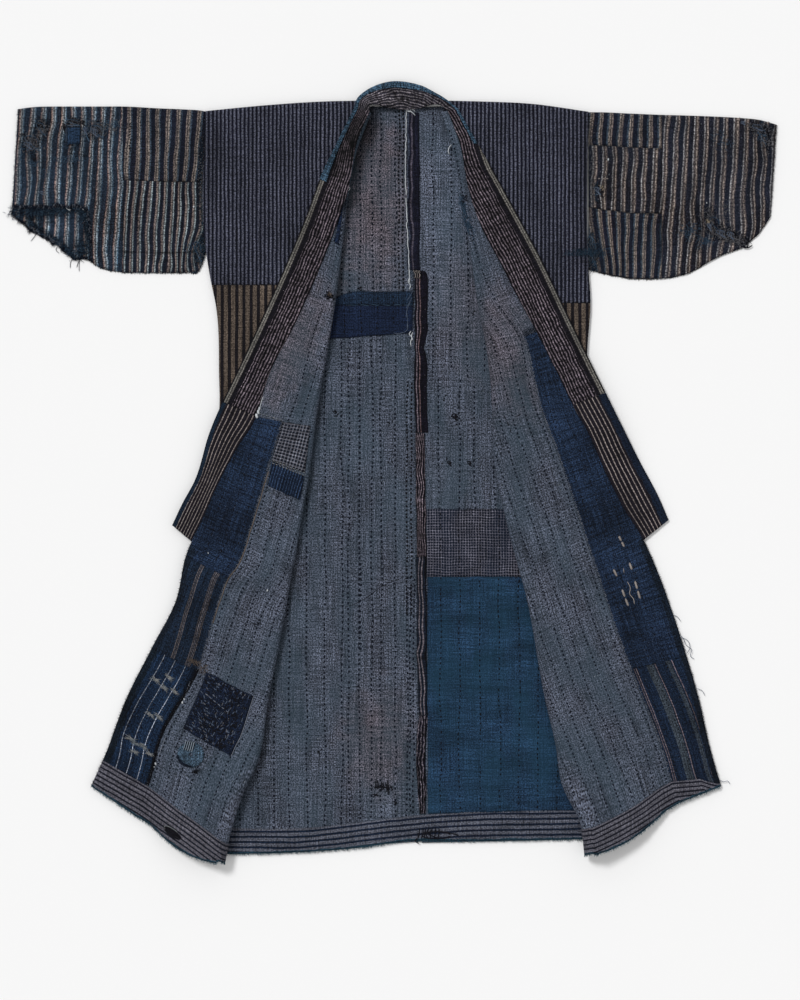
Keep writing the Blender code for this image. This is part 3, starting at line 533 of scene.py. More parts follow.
cloths = {
    "lining": cotton("lining_cotton_mixed_yarn", {
        "colour": "#484d5a", "grain": 0.86, "warpStreak": 0.46, "weftStreak": 0.4, "cloud": 0.2,
        "tint": ("#394a57", 0.5), "fleck": ("#8a9097", 1.7, 0.71), "rim": 0.75, "warmTo": "#564e54"}),
    "indigo": cotton("indigo_dyed_cotton", {
        "colour": "#1d3148", "grain": 0.6, "warpStreak": 0.3, "weftStreak": 0.4, "cloud": 0.38,
        "cloudX": 130.0, "cloudY": 34.0, "tint": ("#1f4358", 0.4), "fleck": ("#4a6078", 1.6, 0.74)}),
    "overlapIndigo": cotton("worn_indigo_cotton", {
        "colour": "#182437", "grain": 0.65, "warpStreak": 0.4, "weftStreak": 0.5, "cloud": 0.45,
        "fleck": ("#535d70", 1.7, 0.7), "edging": (11.0, "#111a26")}),
    "navy": cotton("navy_cotton", {
        "colour": "#141e33", "weftStreak": 0.3, "fleck": ("#3a465e", 1.6, 0.75)}),
    "darned": cotton("darned_navy_cotton", {
        "colour": "#121a2b", "grain": 0.7, "weftStreak": 0.4, "cloud": 0.3, "fleck": ("#56617a", 1.5, 0.68)}),
    "chest": cotton("navy_and_grey_striped_cotton", {
        "warpRepeat": 6.2, "warp": ("#0d0f1b", (3.0, 5.9, "#4a4c59")), "grain": 0.6, "warpStreak": 0.3,
        "cloud": 0.2, "drift": ((80, 1.6), (18, 0.8), (6, 0.3)), "fleck": ("#7c7d86", 1.5, 0.76),
        "pucker": 0.7}),
    "brown": cotton("brown_and_black_striped_cotton", {
        "warpRepeat": 11.3, "warp": ("#151216", (4.8, 11.0, "#544a42")), "grain": 0.5, "warpStreak": 0.3,
        "cloud": 0.15, "drift": ((80, 1.8), (16, 0.7), (6, 0.3)), "pucker": 0.6}),
    "collarEnd": cotton("dark_brown_striped_cotton", dict(
        brownEnd, warpRepeat=6.2, drift=((50, 1.6), (14, 0.9)), edging=(6.5, "#13202f"))),
    "collarEndLeft": cotton("dark_brown_striped_cotton_turned", dict(
        brownEnd, warpRepeat=6.1, drift=((50, 1.4), (14, 0.7)), edging=(12.0, "#121b2a"))),
    "overlapStripe": cotton("blue_and_brown_striped_cotton", dict(overlapLook, warp=(
        "#141f2e", (53.2, 54.1, "#5b5350"), (55.5, 56.3, "#534c4b"), (57.8, 58.8, "#5f5754"),
        (77.6, 78.6, "#575050"), (80.0, 80.8, "#5f5754"), (82.4, 83.4, "#534c4b"), (84.8, 85.6, "#5b5350")))),
    "overlapStripeLeft": cotton("slate_and_pink_striped_cotton", dict(overlapLook, warp=(
        "#121d2e", (33.7, 34.9, "#5f5458"), (37.0, 43.5, "#2d343d"), (60.2, 61.5, "#655a5e"),
        (63.2, 74.5, "#30373f"), (91.3, 92.4, "#655a5e"), (94.5, 95.6, "#5d5357")))),
    "pinstripe": cotton("pinstriped_indigo_cotton", {
        "warpRepeat": 18.6, "warp": ("#122033", (16.6, 17.5, "#838893")), "grain": 0.65, "warpStreak": 0.4,
        "cloud": 0.45, "drift": ((70, 1.8), (14, 0.6)), "fleck": ("#6f7c8d", 1.8, 0.74),
        "edging": (11.0, "#0d151e")}),
    "collar": cotton("black_collar_cotton_with_pale_lines", {
        "warpRepeat": 120.0, "warp": ("#121016", (2.2, 4.5, "#6c6a65"), (5.7, 7.9, "#66635f")),
        "beyond": (15.6, 4.5, ("#0d0a12", (1.2, 2.8, "#766b73"))),
        "grain": 0.5, "warpStreak": 0.3, "weftStreak": 0.35, "breaks": (4.6, 0.72), "pucker": 1.0,
        "cloud": 0.15, "drift": ((24, 2.6), (9, 1.7), (4, 0.6)), "soft": 0.35,
        "fleck": ("#a59aa1", 2.0, 0.75)}),
    "neckCollar": cotton("worn_black_collar_cotton", {
        "warpRepeat": 4.6, "warp": ("#25242c", (1.4, 2.9, "#736d73")),
        "grain": 0.6, "warpStreak": 0.3, "weftStreak": 0.4, "breaks": (5.5, 0.7), "pucker": 1.0,
        "cloud": 0.4, "drift": ((26, 4.2), (11, 2.6), (5, 0.9)), "soft": 0.35,
        "fleck": ("#8f8783", 2.0, 0.74)}),
    "stripA": cotton("strip_cotton_black_side", dict(
        stripLook, warp=("#141523", (17.0, 20.2, "#3e4554"), (23.4, 26.2, "#4b4753")), breaks=(5.0, 0.3),
        drift=((30, 1.0), (8, 0.6)))),
    "stripB": cotton("strip_cotton_lined_and_black", dict(
        stripLook,
        warp=("#0f0d18", (27.2, 28.4, "#4b5666"), (31.6, 33.0, "#756a73"), (35.8, 37.2, "#6e5b5e")),
        drift=((30, 1.0), (8, 0.9), (4, 0.4)), fleck=("#9a95a0", 1.8, 0.75), pucker=0.9)),
    "stripC": cotton("strip_cotton_pale_lines", dict(
        linedStrip, warpRepeat=3.7, warp=("#0c0a14", (1.3, 2.4, "#776c74")), breaks=(6.0, 0.5),
        drift=((22, 1.4), (8, 1.1), (4, 0.4)), fleck=("#8c858e", 1.8, 0.76))),
    "stripE": cotton("strip_cotton_gathered", dict(
        linedStrip, warpRepeat=5.2, warp=("#0b0a15", (1.9, 3.2, "#726b75")), breaks=(6.0, 0.7),
        drift=((26, 4.4), (10, 3.0), (5, 1.0)), soft=0.3, fleck=("#8c858e", 1.8, 0.74))),
    "stripD": cotton("strip_cotton_two_lines", dict(
        stripLook,
        warp=("#131926", (34.8, 36.6, "#6a646b"), (40.2, 42.0, "#6a646b"), (45.2, 50.0, "#0c0d15")),
        drift=((34, 1.4), (9, 1.1), (4, 0.4)), fleck=("#7d7a85", 1.8, 0.75), pucker=0.9)),
    "check": cotton("checked_cotton", {
        "warpRepeat": 4.2, "warp": ("#070a16", (2.2, 3.6, "#6c6b76")), "weftRepeat": 4.2,
        "weft": ("#070a16", (2.2, 3.6, "#696874")), "grain": 0.5, "weftStreak": 0.4,
        "cloud": 0.3, "drift": ((50, 2.0), (14, 0.9), (6, 0.4)), "tint": ("#18283f", 0.3)}),
    "checkLarge": cotton("larger_checked_cotton", {
        "warpRepeat": 5.2, "warp": ("#0c101c", (2.9, 4.8, "#6f7480")), "weftRepeat": 4.8,
        "weft": ("#0c101c", (2.7, 4.4, "#72717a")), "grain": 0.45, "warpStreak": 0.3, "weftStreak": 0.3,
        "drift": ((50, 2.0), (14, 0.8), (6, 0.3))}),
    "hem": cotton("hem_facing_striped_cotton", dict(
        hemLook, warpRepeat=8.2, warp=("#50535e", (2.9, 6.3, "#111a2a")))),
    "hemFront": cotton("lapel_hem_facing_striped_cotton", dict(
        hemLook, warpRepeat=6.8, warp=("#57565f", (2.2, 4.8, "#12151f")))),
    "teal": cotton("teal_binding_cotton", {
        "colour": "#34495b", "grain": 0.8, "warpStreak": 0.45, "weftStreak": 0.6, "cloud": 0.4, "rim": 0.9}),
    "tealNavy": cotton("fine_striped_indigo_cotton", {
        "warpRepeat": 3.6, "warp": ("#162233", (1.9, 3.2, "#1c2b3e")), "grain": 0.6, "cloud": 0.3,
        "fleck": ("#3f4f62", 1.6, 0.74)}),
    "tealFine": cotton("fine_striped_dark_indigo_cotton", {
        "warpRepeat": 4.6, "warp": ("#0f192b", (2.3, 3.7, "#2d3e58")), "grain": 0.6, "cloud": 0.35,
        "drift": ((40, 1.8), (12, 0.9))}),
    "navyPatch": cotton("deep_indigo_cotton", {
        "colour": "#17233a", "grain": 0.6, "weftStreak": 0.3, "fleck": ("#3a465e", 1.6, 0.75)}),
    "sleeveMend": cotton("dark_blue_mending_cotton", {
        "colour": "#1f3045", "grain": 0.6, "warpStreak": 0.3, "weftStreak": 0.3, "cloud": 0.3, "rim": 0.5}),
    "mendBlue": cotton("faded_blue_mending_cotton", {
        "colour": "#394a5a", "grain": 0.7, "warpStreak": 0.4, "weftStreak": 0.3, "cloud": 0.4}),
    "sleevePairs": cotton("sleeve_cotton_with_paired_lines", dict(
        sleeveLook, warp=("#1c222d", (3.0, 4.5, "#3c5060"), (4.5, 6.3, "#7b868f"), (6.3, 7.9, "#3f4247"),
                          (7.9, 9.4, "#787777"), (9.4, 11.0, "#83716c"), (11.0, 12.1, "#42312f")),
        drift=((60, 3.0), (17, 1.5), (6, 0.5)), tint=("#263b50", 0.3), fleck=("#767d88", 1.7, 0.72))),
    "sleeveBroad": cotton("sleeve_cotton_broad_stripes", dict(
        sleeveLook, warp=("#131521", (3.4, 4.8, "#303d4a"), (4.8, 6.4, "#4a4f56"), (6.4, 8.3, "#7a716a"),
                          (8.3, 9.7, "#463f3d"), (9.7, 11.7, "#6a605b"), (11.7, 12.6, "#2f272d")),
        warpRepeat=15.2, grain=0.7, cloud=0.25, drift=((60, 2.2), (17, 1.0), (6, 0.4)),
        tint=("#1f3044", 0.18))),
    "sleeveLined": cotton("sleeve_cotton_lined_stripes", dict(
        sleeveLook, warp=("#141722", (2.8, 3.6, "#2b3c47"), (3.6, 5.4, "#848d90"), (5.4, 7.0, "#4b4848"),
                          (7.0, 9.1, "#786c67"), (9.1, 10.0, "#3c2f35")),
        warpRepeat=11.7, grain=0.6, warpStreak=0.35, cloud=0.25, drift=((60, 2.6), (17, 1.2), (6, 0.4)),
        tint=("#1f3044", 0.15))),
    "sleeveDouble": cotton("sleeve_cotton_double_stripes", dict(
        sleeveLook, warp=("#1b1b24", (3.4, 5.3, "#7c7b7d"), (5.3, 6.9, "#4a4342"), (6.9, 8.3, "#413a39"),
                          (8.3, 10.4, "#81766f"), (10.4, 11.8, "#483f3f")),
        drift=((60, 2.8), (17, 1.4), (6, 0.5)), tint=("#1e2c3f", 0.25), fleck=("#767c86", 1.8, 0.71),
        breaks=(6.0, 0.3))),
}
print("materials made:", len(cloths))

# the lie of the cloth


def backRise(x, y):
    # the back lies flat, with a slow waviness of under half a millimetre
    return 0.25 + 0.25 * softNoise(x, y, 60, 90, 1)


def sideLine(name, y):
    table = body[name]
    return smoothAt([row[0] for row in table], [row[1] for row in table], y)


def centreLine(y):
    return body["centreTop"][0] + (np.asarray(y, float) - body["centreTop"][1]) * body["centreLean"]


def backGrids(side):
    right = side == "right"
    out = -1 if right else 1
    rows = body["backRows"]
    sideY = [row[0] if right else row[3] for row in rows]
    centreY = [row[1] if right else row[2] for row in rows]
    innerY = [a + (b - a) * body["innerShare"] for a, b in zip(sideY, centreY)]
    neckX, heights = body[side + "Shoulder"]
    innerX = []
    for a, b in zip(sideY, centreY):
        outerX = float(sideLine(side + "Side", a))
        innerX.append(outerX + (float(centreLine(b)) + out * 0.15 - outerX) * body["innerShare"])
    innerX[-1], innerY[-1] = neckX, body["necklineY"]
    knots = [(a + b) / 2 for a, b in zip(sideY, centreY)]
    at, _ = finePositions(knots, resolution["step"])
    fineSideY = smoothAt(knots, sideY, at)
    fineInnerY = smoothAt(knots, innerY, at)
    fineCentreY = smoothAt(knots, centreY, at)
    sideEdge = np.stack([sideLine(side + "Side", fineSideY), fineSideY], axis=1)
    inner = np.stack([smoothAt(knots, innerX, at), fineInnerY], axis=1)
    centre = np.stack([centreLine(fineCentreY) + out * 0.15, fineCentreY], axis=1)

    halves = []
    for first, second, count in ((sideEdge, inner, "outerBack"), (inner, centre, "innerBack")):
        plan = between(first, second, np.linspace(0, 1, resolution[count] + 1))
        halves.append(withHeight(plan, layers["backZ"] + backRise(plan[:, :, 0], plan[:, :, 1])))

    # over the shoulder: a half turn from the back up to the front
    share = np.linspace(0, 1, resolution["outerBack"] + 1)
    height = smoothAt(body["shoulderShares"], heights, share)
    radius = (layers["shoulderZ"] - layers["backZ"]) / 2
    armhole = float(sideLine(side + "Side", heights[0]))
    turn = np.radians(np.linspace(-90, 90, 9))
    x = armhole + (neckX - armhole) * share
    fold = np.stack([
        np.broadcast_to(x, (9, len(share))),
        height[None, :] - radius * (1 - np.cos(turn))[:, None],
        np.broadcast_to((layers["backZ"] + radius * (1 + np.sin(turn)))[:, None], (9, len(share))),
    ], axis=2)
    return *halves, fold


def frontPlan(side):
    # every station of the front at fine spacing, with the row number of each named station
    table = rightFront if side == "right" else leftFront
    roll = np.array([[row[2], row[3]] for row in table], float)
    knots = lengthAlong(roll)
    at, index = finePositions(list(knots), resolution["step"])
    columns = {}
    for number, key in enumerate(("sideY", "rollX", "rollY", "seamX", "seamY", "edgeX", "edgeY"), 1):
        columns[key] = smoothAt(knots, [row[number] for row in table], at)
    columns["roll"] = smoothAt(knots, [row[10] for row in table], at)
    columns["crest"] = np.interp(at, knots, [row[11] for row in table])
    collarRows = [k for k, row in enumerate(table) if row[8] is not None]
    last = index[collarRows[-1]]
    for number, key in ((8, "collarX"), (9, "collarY")):
        columns[key] = smoothAt(knots[collarRows], [table[k][number] for k in collarRows], at[:last + 1])
    first = knots[1]
    settle = np.clip(at / first, 0, 1)
    columns["frontZ"] = layers["shoulderZ"] + (layers["frontZ"] - layers["shoulderZ"]) * settle
    columns["sideZ"] = layers["shoulderZ"] + (layers["frontSideZ"] - layers["shoulderZ"]) * settle
    rowOf = {row[0]: index[k] for k, row in enumerate(table)}
    return columns, rowOf


def restHeight(side, x, y, frontZ):
    # a turned-out front lies on the front below it, then comes down past its side seam
    out = -1 if side == "right" else 1
    beyond = (x - sideLine(side + "Side", y)) * out
    share = ease((beyond - layers["sideDropStart"]) / layers["sideDropLength"])
    return (frontZ + layers["lapelRise"]) * (1 - share) + layers["floorLapelZ"] * share


def lapelRise(side, x, y):
    # soft waves of a turned-out front, wider where it lies on the surface past the side seam
    out = -1 if side == "right" else 1
    beyond = ease((x - sideLine(side + "Side", y)) * out / 60)
    seed = 3 if side == "right" else 4
    wave = 0.5 + 0.5 * softNoise(x, y, 38, 62, seed)
    long = 0.5 + 0.5 * softNoise(x, y, 90, 130, seed + 20)
    return 0.5 * wave + beyond * (1.2 * wave + 1.6 * long)


def frontGrid(side):
    out = -1 if side == "right" else 1
    row, rowOf = frontPlan(side)
    count = len(row["rollX"])
    sidePlace = np.stack([sideLine(side + "Side", row["sideY"]), row["sideY"]], axis=1)
    nose = np.stack([row["rollX"], row["rollY"]], axis=1)
    seam = np.stack([row["seamX"], row["seamY"]], axis=1)
    edge = np.stack([row["edgeX"], row["edgeY"]], axis=1)
    radius = row["roll"] / 2
    turned = (edge - nose) / np.linalg.norm(edge - nose, axis=1, keepdims=True)
    foot = nose + np.stack([out * radius, np.zeros(count)], axis=1)

    share = np.linspace(0, 1, resolution["under"] + 1)
    under = between(sidePlace, foot, share)
    z = row["sideZ"][:, None] + (row["frontZ"] - row["sideZ"])[:, None] * ease(share / 0.4)[None]
    rise = 0.35 + 0.35 * softNoise(under[:, :, 0], under[:, :, 1], 45, 80, 7)
    rise *= np.clip(np.arange(count) / 12, 0, 1)[:, None]
    under = withHeight(under, z + rise)

    bend = np.radians(np.linspace(-90, 90, resolution["roll"] + 1))[1:-1]
    reach = radius[:, None] * (1 - np.cos(bend))[None]
    turnShare = ((bend + math.pi / 2) / math.pi)[None, :, None]
    heading = np.array([out, 0.0])[None, None] * (1 - turnShare) + turned[:, None] * turnShare
    rollPlan = nose[:, None] + heading * reach[:, :, None]
    rollZ = row["frontZ"][:, None] + radius[:, None] * (1 + np.sin(bend))[None]
    rollPart = withHeight(rollPlan, rollZ)

    top = nose + turned * radius[:, None]
    top[:, 1] += row["crest"] / 2
    share = np.linspace(0, 1, resolution["lapel"] + 1)
    lapel = between(top, seam, share)
    lapel[:, :, 1] += row["crest"][:, None] * np.sin(np.clip(share / 0.84, 0, 1) * math.pi)[None]
    swell = 0.15 + row["roll"] / 60
    over = np.maximum(0.0, row["roll"] - layers["lapelRise"])
    seamLift = np.maximum(0.0, row["roll"] - 16) * 0.25
    middle = over * swell
    t = share[None]
    first = over[:, None] + (middle - over)[:, None] * np.sin(np.clip(t / 0.42, 0, 1) * math.pi / 2) ** 1.4
    second = middle[:, None] + (seamLift - middle)[:, None] * ease((t - 0.42) / 0.58)
    lift = np.where(t < 0.42, first, second)
    rest = restHeight(side, lapel[:, :, 0], lapel[:, :, 1], row["frontZ"][:, None])
    wave = lapelRise(side, lapel[:, :, 0], lapel[:, :, 1]) * ease(share / 0.3)[None]
    wave = wave * np.clip(np.arange(count) / 12, 0, 1)[:, None]
    lapel = withHeight(lapel, rest + lift + wave)

    share = np.linspace(0, 1, resolution["overlap"] + 1)[1:]
    lap = between(seam, edge, share)
    rest = restHeight(side, lap[:, :, 0], lap[:, :, 1], row["frontZ"][:, None])
    wave = lapelRise(side, lap[:, :, 0], lap[:, :, 1]) * np.clip(np.arange(count) / 12, 0, 1)[:, None]
    lap = withHeight(lap, rest + seamLift[:, None] * (1 - share)[None] + wave)

    place = np.concatenate([under, rollPart, lapel, lap], axis=1)
    seamColumn = resolution["under"] + resolution["roll"] + resolution["lapel"]
    across = runLengths(place, 1)
    u = across[:, seamColumn:seamColumn + 1] - across
    seamRun = runLengths(place, 0)[:, seamColumn]
    v = -np.broadcast_to(seamRun[:, None], u.shape)
    grid = makeGrid(place, u, v, (count // 2, seamColumn - 4))
    footColumn = resolution["under"]
    columnOf = {"side": 0, "foot": footColumn, "top": footColumn + resolution["roll"],
                "seam": seamColumn, "edge": seamColumn + resolution["overlap"]}
    return grid, rowOf, columnOf, row


fronts = {}
backs = {}
for side in ("right", "left"):
    fronts[side] = frontGrid(side)
    backs[side] = backGrids(side)


def planUv(grid):
    # grain straight down the body: across and along are the plan's own axes
    return dict(grid, u=grid["place"][:, :, 0], v=grid["place"][:, :, 1])


# body: the outer cloth and the lining of each half


def buildBody(side):
    # the back's outer columns are spread again so that they meet the front's at the shoulder
    front = fronts[side][0]
    lastColumn = resolution["under"]
    outer, inside, fold = backs[side]
    spread = []
    for places in (outer, fold):
        old = np.linspace(0, 1, places.shape[1])
        new = np.linspace(0, 1, lastColumn + 1)
        spread.append(np.stack([np.stack([np.interp(new, old, line[:, k]) for k in range(3)], axis=1)
                                for line in places]))
    outer, fold = spread
    shoulder = np.concatenate([outer[-1:], fold[1:], front["place"][0:1, :lastColumn + 1]])
    blocks = {}
    for name, place in (("outer", outer), ("inside", inside), ("shoulder", shoulder)):
        blocks[name] = makeGrid(place, place[:, :, 0].copy(), place[:, :, 1].copy(), (len(place) // 4, 2))
    # the shoulder's normals start upwards on the back, so they end downwards on the front
    if blocks["shoulder"]["normal"][0, 5, 2] < 0:
        blocks["shoulder"]["normal"] *= -1
    blocks["outer"]["normal"][-1] = blocks["shoulder"]["normal"][0]
    blocks["inside"]["normal"][:, 0] = blocks["outer"]["normal"][:, -1]
    front["normal"][0, :lastColumn + 1] = blocks["shoulder"]["normal"][-1]
    return blocks


bodyParts = {side: buildBody(side) for side in ("right", "left")}


# paints tables of wear, stains and painted shade onto a grid
def applyWearAndShade(grid, table):
    for key, spots in table:
        paint(grid, key, spots)


chestWear = {"right": (("fade", ((-289, 420, 4, 110, 0, -0.2), (-278, 480, 10, 90, 0, -0.12))),),
             "left": (("fade", ((293, 440, 6, 120, 0, -0.4),)),)}


def buildOuterCloth(side):
    grid, rowOf, columnOf, _ = fronts[side]
    blocks = bodyParts[side]
    seamRow = rowOf["brownSeam"]
    under = planUv(part(grid, (0, seamRow), (0, columnOf["foot"])))
    under["fade"] = under["fade"].copy()
    applyWearAndShade(under, chestWear[side])
    turned = part(grid, (0, seamRow), (columnOf["foot"], columnOf["edge"]))
    coarse = []  # every second row of the back, and its last
    for name in ("outer", "inside"):
        rows = sorted({*range(0, len(blocks[name]["u"]), 2), len(blocks[name]["u"]) - 1})
        coarse.append({key: value[rows] for key, value in blocks[name].items()})
    makeSheet(f"{side}_body_outer", [
        (coarse[0], ("top", "left")), (coarse[1], ("top", "right")), (blocks["shoulder"], ()),
        (under, ("foot",)), (trim(turned, ("foot",)), ("foot",))], outerLift, "chest", "cloth", (0.345, 1.5))
    under = planUv(part(grid, (seamRow, None), (0, columnOf["foot"])))
    turned = part(grid, (seamRow, None), (columnOf["foot"], columnOf["seam"]))
    makeSheet(f"{side}_front_lower",
              [(trim(block, ("top",)), ("top", "foot")) for block in (under, turned)],
              outerLift, "brown", "cloth", (0.33, 0.92))
    overlap = part(grid, (rowOf["overlapTop"], None), (columnOf["seam"], columnOf["edge"]))
    makeSheet(f"{side}_overlap_outer",
              [(trim(overlap, ("left",)), ("right", "foot"))], outerLift, "navy", "cloth")


# on the right, the dark spots at (-48, 520) and (-66, 440) are painted shadow of the standing collar on the
# lining; the other spots are ageing and fading
liningWearAndShade = {
    "right": (("warm", ((-40, 430, 75, 170, 0, 0.9), (-110, 300, 40, 60, 0, 0.4),
                        (-30, -410, 60, 90, 0, 0.7))),
              ("fade", ((-25, 410, 60, 150, 0, 0.2), (-48, 520, 24, 66, -18, -0.5),
                        (-66, 440, 10, 50, -8, -0.3), (-40, 120, 70, 130, 0, 0.05)))),
    "left": (("fade", ((82, 420, 66, 170, 0, 0.46), (110, 250, 40, 60, 0, 0.12))),
             ("warm", ((110, 260, 60, 120, 0, 0.35),))),
}
# on the right, the dark spots at (-54, 505) and (-80, 420) by the collar's inner edge are painted shadow of
# the standing collar; on the left, the two narrow dark lines along the roll are painted shade of the crease
lapelWearAndShade = {
    "right": (("warm", ((-175, 200, 60, 130, -25, 0.7),)),
              ("fade", ((-54, 505, 10, 72, -15, -0.65), (-80, 420, 7, 22, -14, -0.7),
                        (-175, 190, 50, 120, -25, 0.12), (-225, -90, 40, 120, -20, 0.14),
                        (-306, -456, 9, 5, 10, -0.7), (-214, -228, 10, 8, 60, -0.3)))),
    "left": (("warm", ((170, 190, 70, 120, 20, 0.6),)),
             ("fade", ((200, 60, 40, 130, 15, -0.05), (132, 246, 3.5, 62, 14.5, -0.24),
                       (152, 120, 3, 60, 5, -0.12)))),
}
pieceWear = {
    "pinstripe": (("fade", ((-366, -323, 9, 6, -28, 0.8), (-341, -315, 10, 6, -28, 0.8),
                            (-335, -334, 9, 6, -28, 0.7), (-372, -373, 10, 5, -28, 0.7),
                            (-391, -421, 12, 8, -28, 0.8), (-409, -418, 8, 7, -28, 0.7),
                            (-330, -330, 5, 60, -26, -0.3), (-365, -430, 6, 50, -26, -0.6))),),
    "striped": (("fade", ((-285, -195, 6, 20, -30, -0.4), (-275, -245, 12, 14, 0, -0.35))),),
}


def buildLining(side):
    grid, rowOf, columnOf, _ = fronts[side]
    blocks = bodyParts[side]
    for name in ("outer", "inside"):
        applyWearAndShade(blocks[name], liningWearAndShade[side])
        if side == "right":  # painted shadow where the turned-out front comes down on the back
            _, _, rollX, rollY = zip(*(row[:4] for row in rightFront[::-1]))
            place = blocks[name]["place"]
            beside = place[:, :, 0] - np.interp(place[:, :, 1], rollY, rollX)
            blocks[name]["fade"] -= 0.5 * np.exp(-(beside / 7) ** 2)
    aged = dict(grid, fade=grid["fade"].copy(), warm=grid["warm"].copy())
    applyWearAndShade(aged, lapelWearAndShade[side])
    upper = part(aged, (0, rowOf["overlapTop"]), (0, columnOf["edge"]))
    lower = part(aged, (rowOf["overlapTop"], None), (0, columnOf["seam"]))
    makeSheet(f"{side}_body_lining", [
        (blocks["outer"], ("top", "left")), (blocks["inside"], ("top", "right")), (blocks["shoulder"], ()),
        (upper, ("right",)), (lower, ("foot", "right"))], liningLift, "lining", "cloth", (0.36, 2.35))


for side in ("right", "left"):
    buildOuterCloth(side)
    buildLining(side)
print("body built")

overlapPieces = {
    "right": (("indigo", "overlapTop", "indigoFoot", "overlapIndigo", "indigo_cotton"),
              ("striped", "indigoFoot", "stripedFoot", "overlapStripe", "dark_brown_stripe_cotton"),
              ("pinstripe", "stripedFoot", "hem", "pinstripe", "pinstripe_cotton")),
    "left": (("indigo", "overlapTop", "indigoFoot", "overlapIndigo", "indigo_cotton"),
             ("striped", "indigoFoot", "hem", "overlapStripeLeft", "dark_brown_stripe_cotton")),
}


def buildOverlap(side):
    grid, rowOf, columnOf, _ = fronts[side]
    for ending, start, end, cloth, slotName in overlapPieces[side]:
        raised = 2 if (side, ending) == ("left", "indigo") else 0
        piece = trim(part(grid, (rowOf[start] - raised, rowOf[end]), (columnOf["seam"], columnOf["edge"])),
                     ("top", "foot", "left"))
        if side == "right":
            applyWearAndShade(piece, pieceWear.get(ending, ()))
        if ending == "indigo":  # no turned edge where the collar covers it
            rows = np.arange(piece["u"].shape[0])[:, None]
            past = ease((rows - rowOf["collarEnd"] + rowOf[start] + 3) / 6)
            piece["guard"] = 30 * (1 - past) + 0 * piece["u"]
        if ending == "pinstripe":  # the frayed black edge beside the lining
            fray = 1 - ease((np.abs(piece["u"]) - 3.2) / 2.5)
            fray = fray * (0.75 + 0.5 * softNoise(piece["v"], 0, 9, 9, 81))
            piece["fade"] = np.maximum(piece["fade"] - np.clip(fray, 0, 0.95), -0.95)
        makeSheet(f"{side}_overlap_{ending}", [(piece, ("right",))],
                  liningLift, cloth, "cloth")


for side in ("right", "left"):
    buildOverlap(side)

# collar: the band from the right end, round the neck, to the left end


collarReach = (  # y of the roll, how far the right collar reaches in over the roll, how high it stands
    (546, 9, 19), (505, 11, 21), (440, 13, 15), (410, 7, 9), (373, 1, 3), (340, 0, 0),
)
neckStand = (18, 14, 9, 5, 3, 3, 4, 3, 0)  # round the neck from right to left
# the dark spots at (-60, 528) and (-86, 490) are painted shade of the right collar where it stands up near
# the neck
collarWearAndShade = ((-60, 528, 22, 46, 0, -0.7), (-86, 490, 15, 40, -25, -0.6), (-15, 592, 40, 10, 20, 0.25),
              (70, 560, 16, 40, 0, -0.2))


def collarLine(side):
    _, rowOf, _, row = fronts[side]
    edge = np.stack([row["edgeX"], row["edgeY"]], axis=1)[:rowOf["collarEnd"] + 1]
    outer = np.stack([row["collarX"], row["collarY"]], axis=1)
    reach = collarColumn(1, edge) if side == "right" else np.zeros(len(edge))
    inner = edge + unit(outer - edge) * (layers["seamGap"] - reach)[:, None]
    lift = layers["collarCloth"] / 2 - layers["cloth"] - layers["seamGap"] / 2
    ends = []
    for place in (inner, outer):
        z = restHeight(side, place[:, 0], place[:, 1], row["frontZ"][:len(place)])
        wave = lapelRise(side, place[:, 0], place[:, 1]) * np.clip(np.arange(len(place)) / 12, 0, 1)
        ends.append(withHeight(place, z + lift + wave))
    return ends


def collarColumn(number, rows):
    # a column of the table above, at the rows of the right front's roll
    return np.interp(-fronts["right"][3]["rollY"][:len(rows)], [-entry[0] for entry in collarReach],
                     [entry[number] for entry in collarReach])


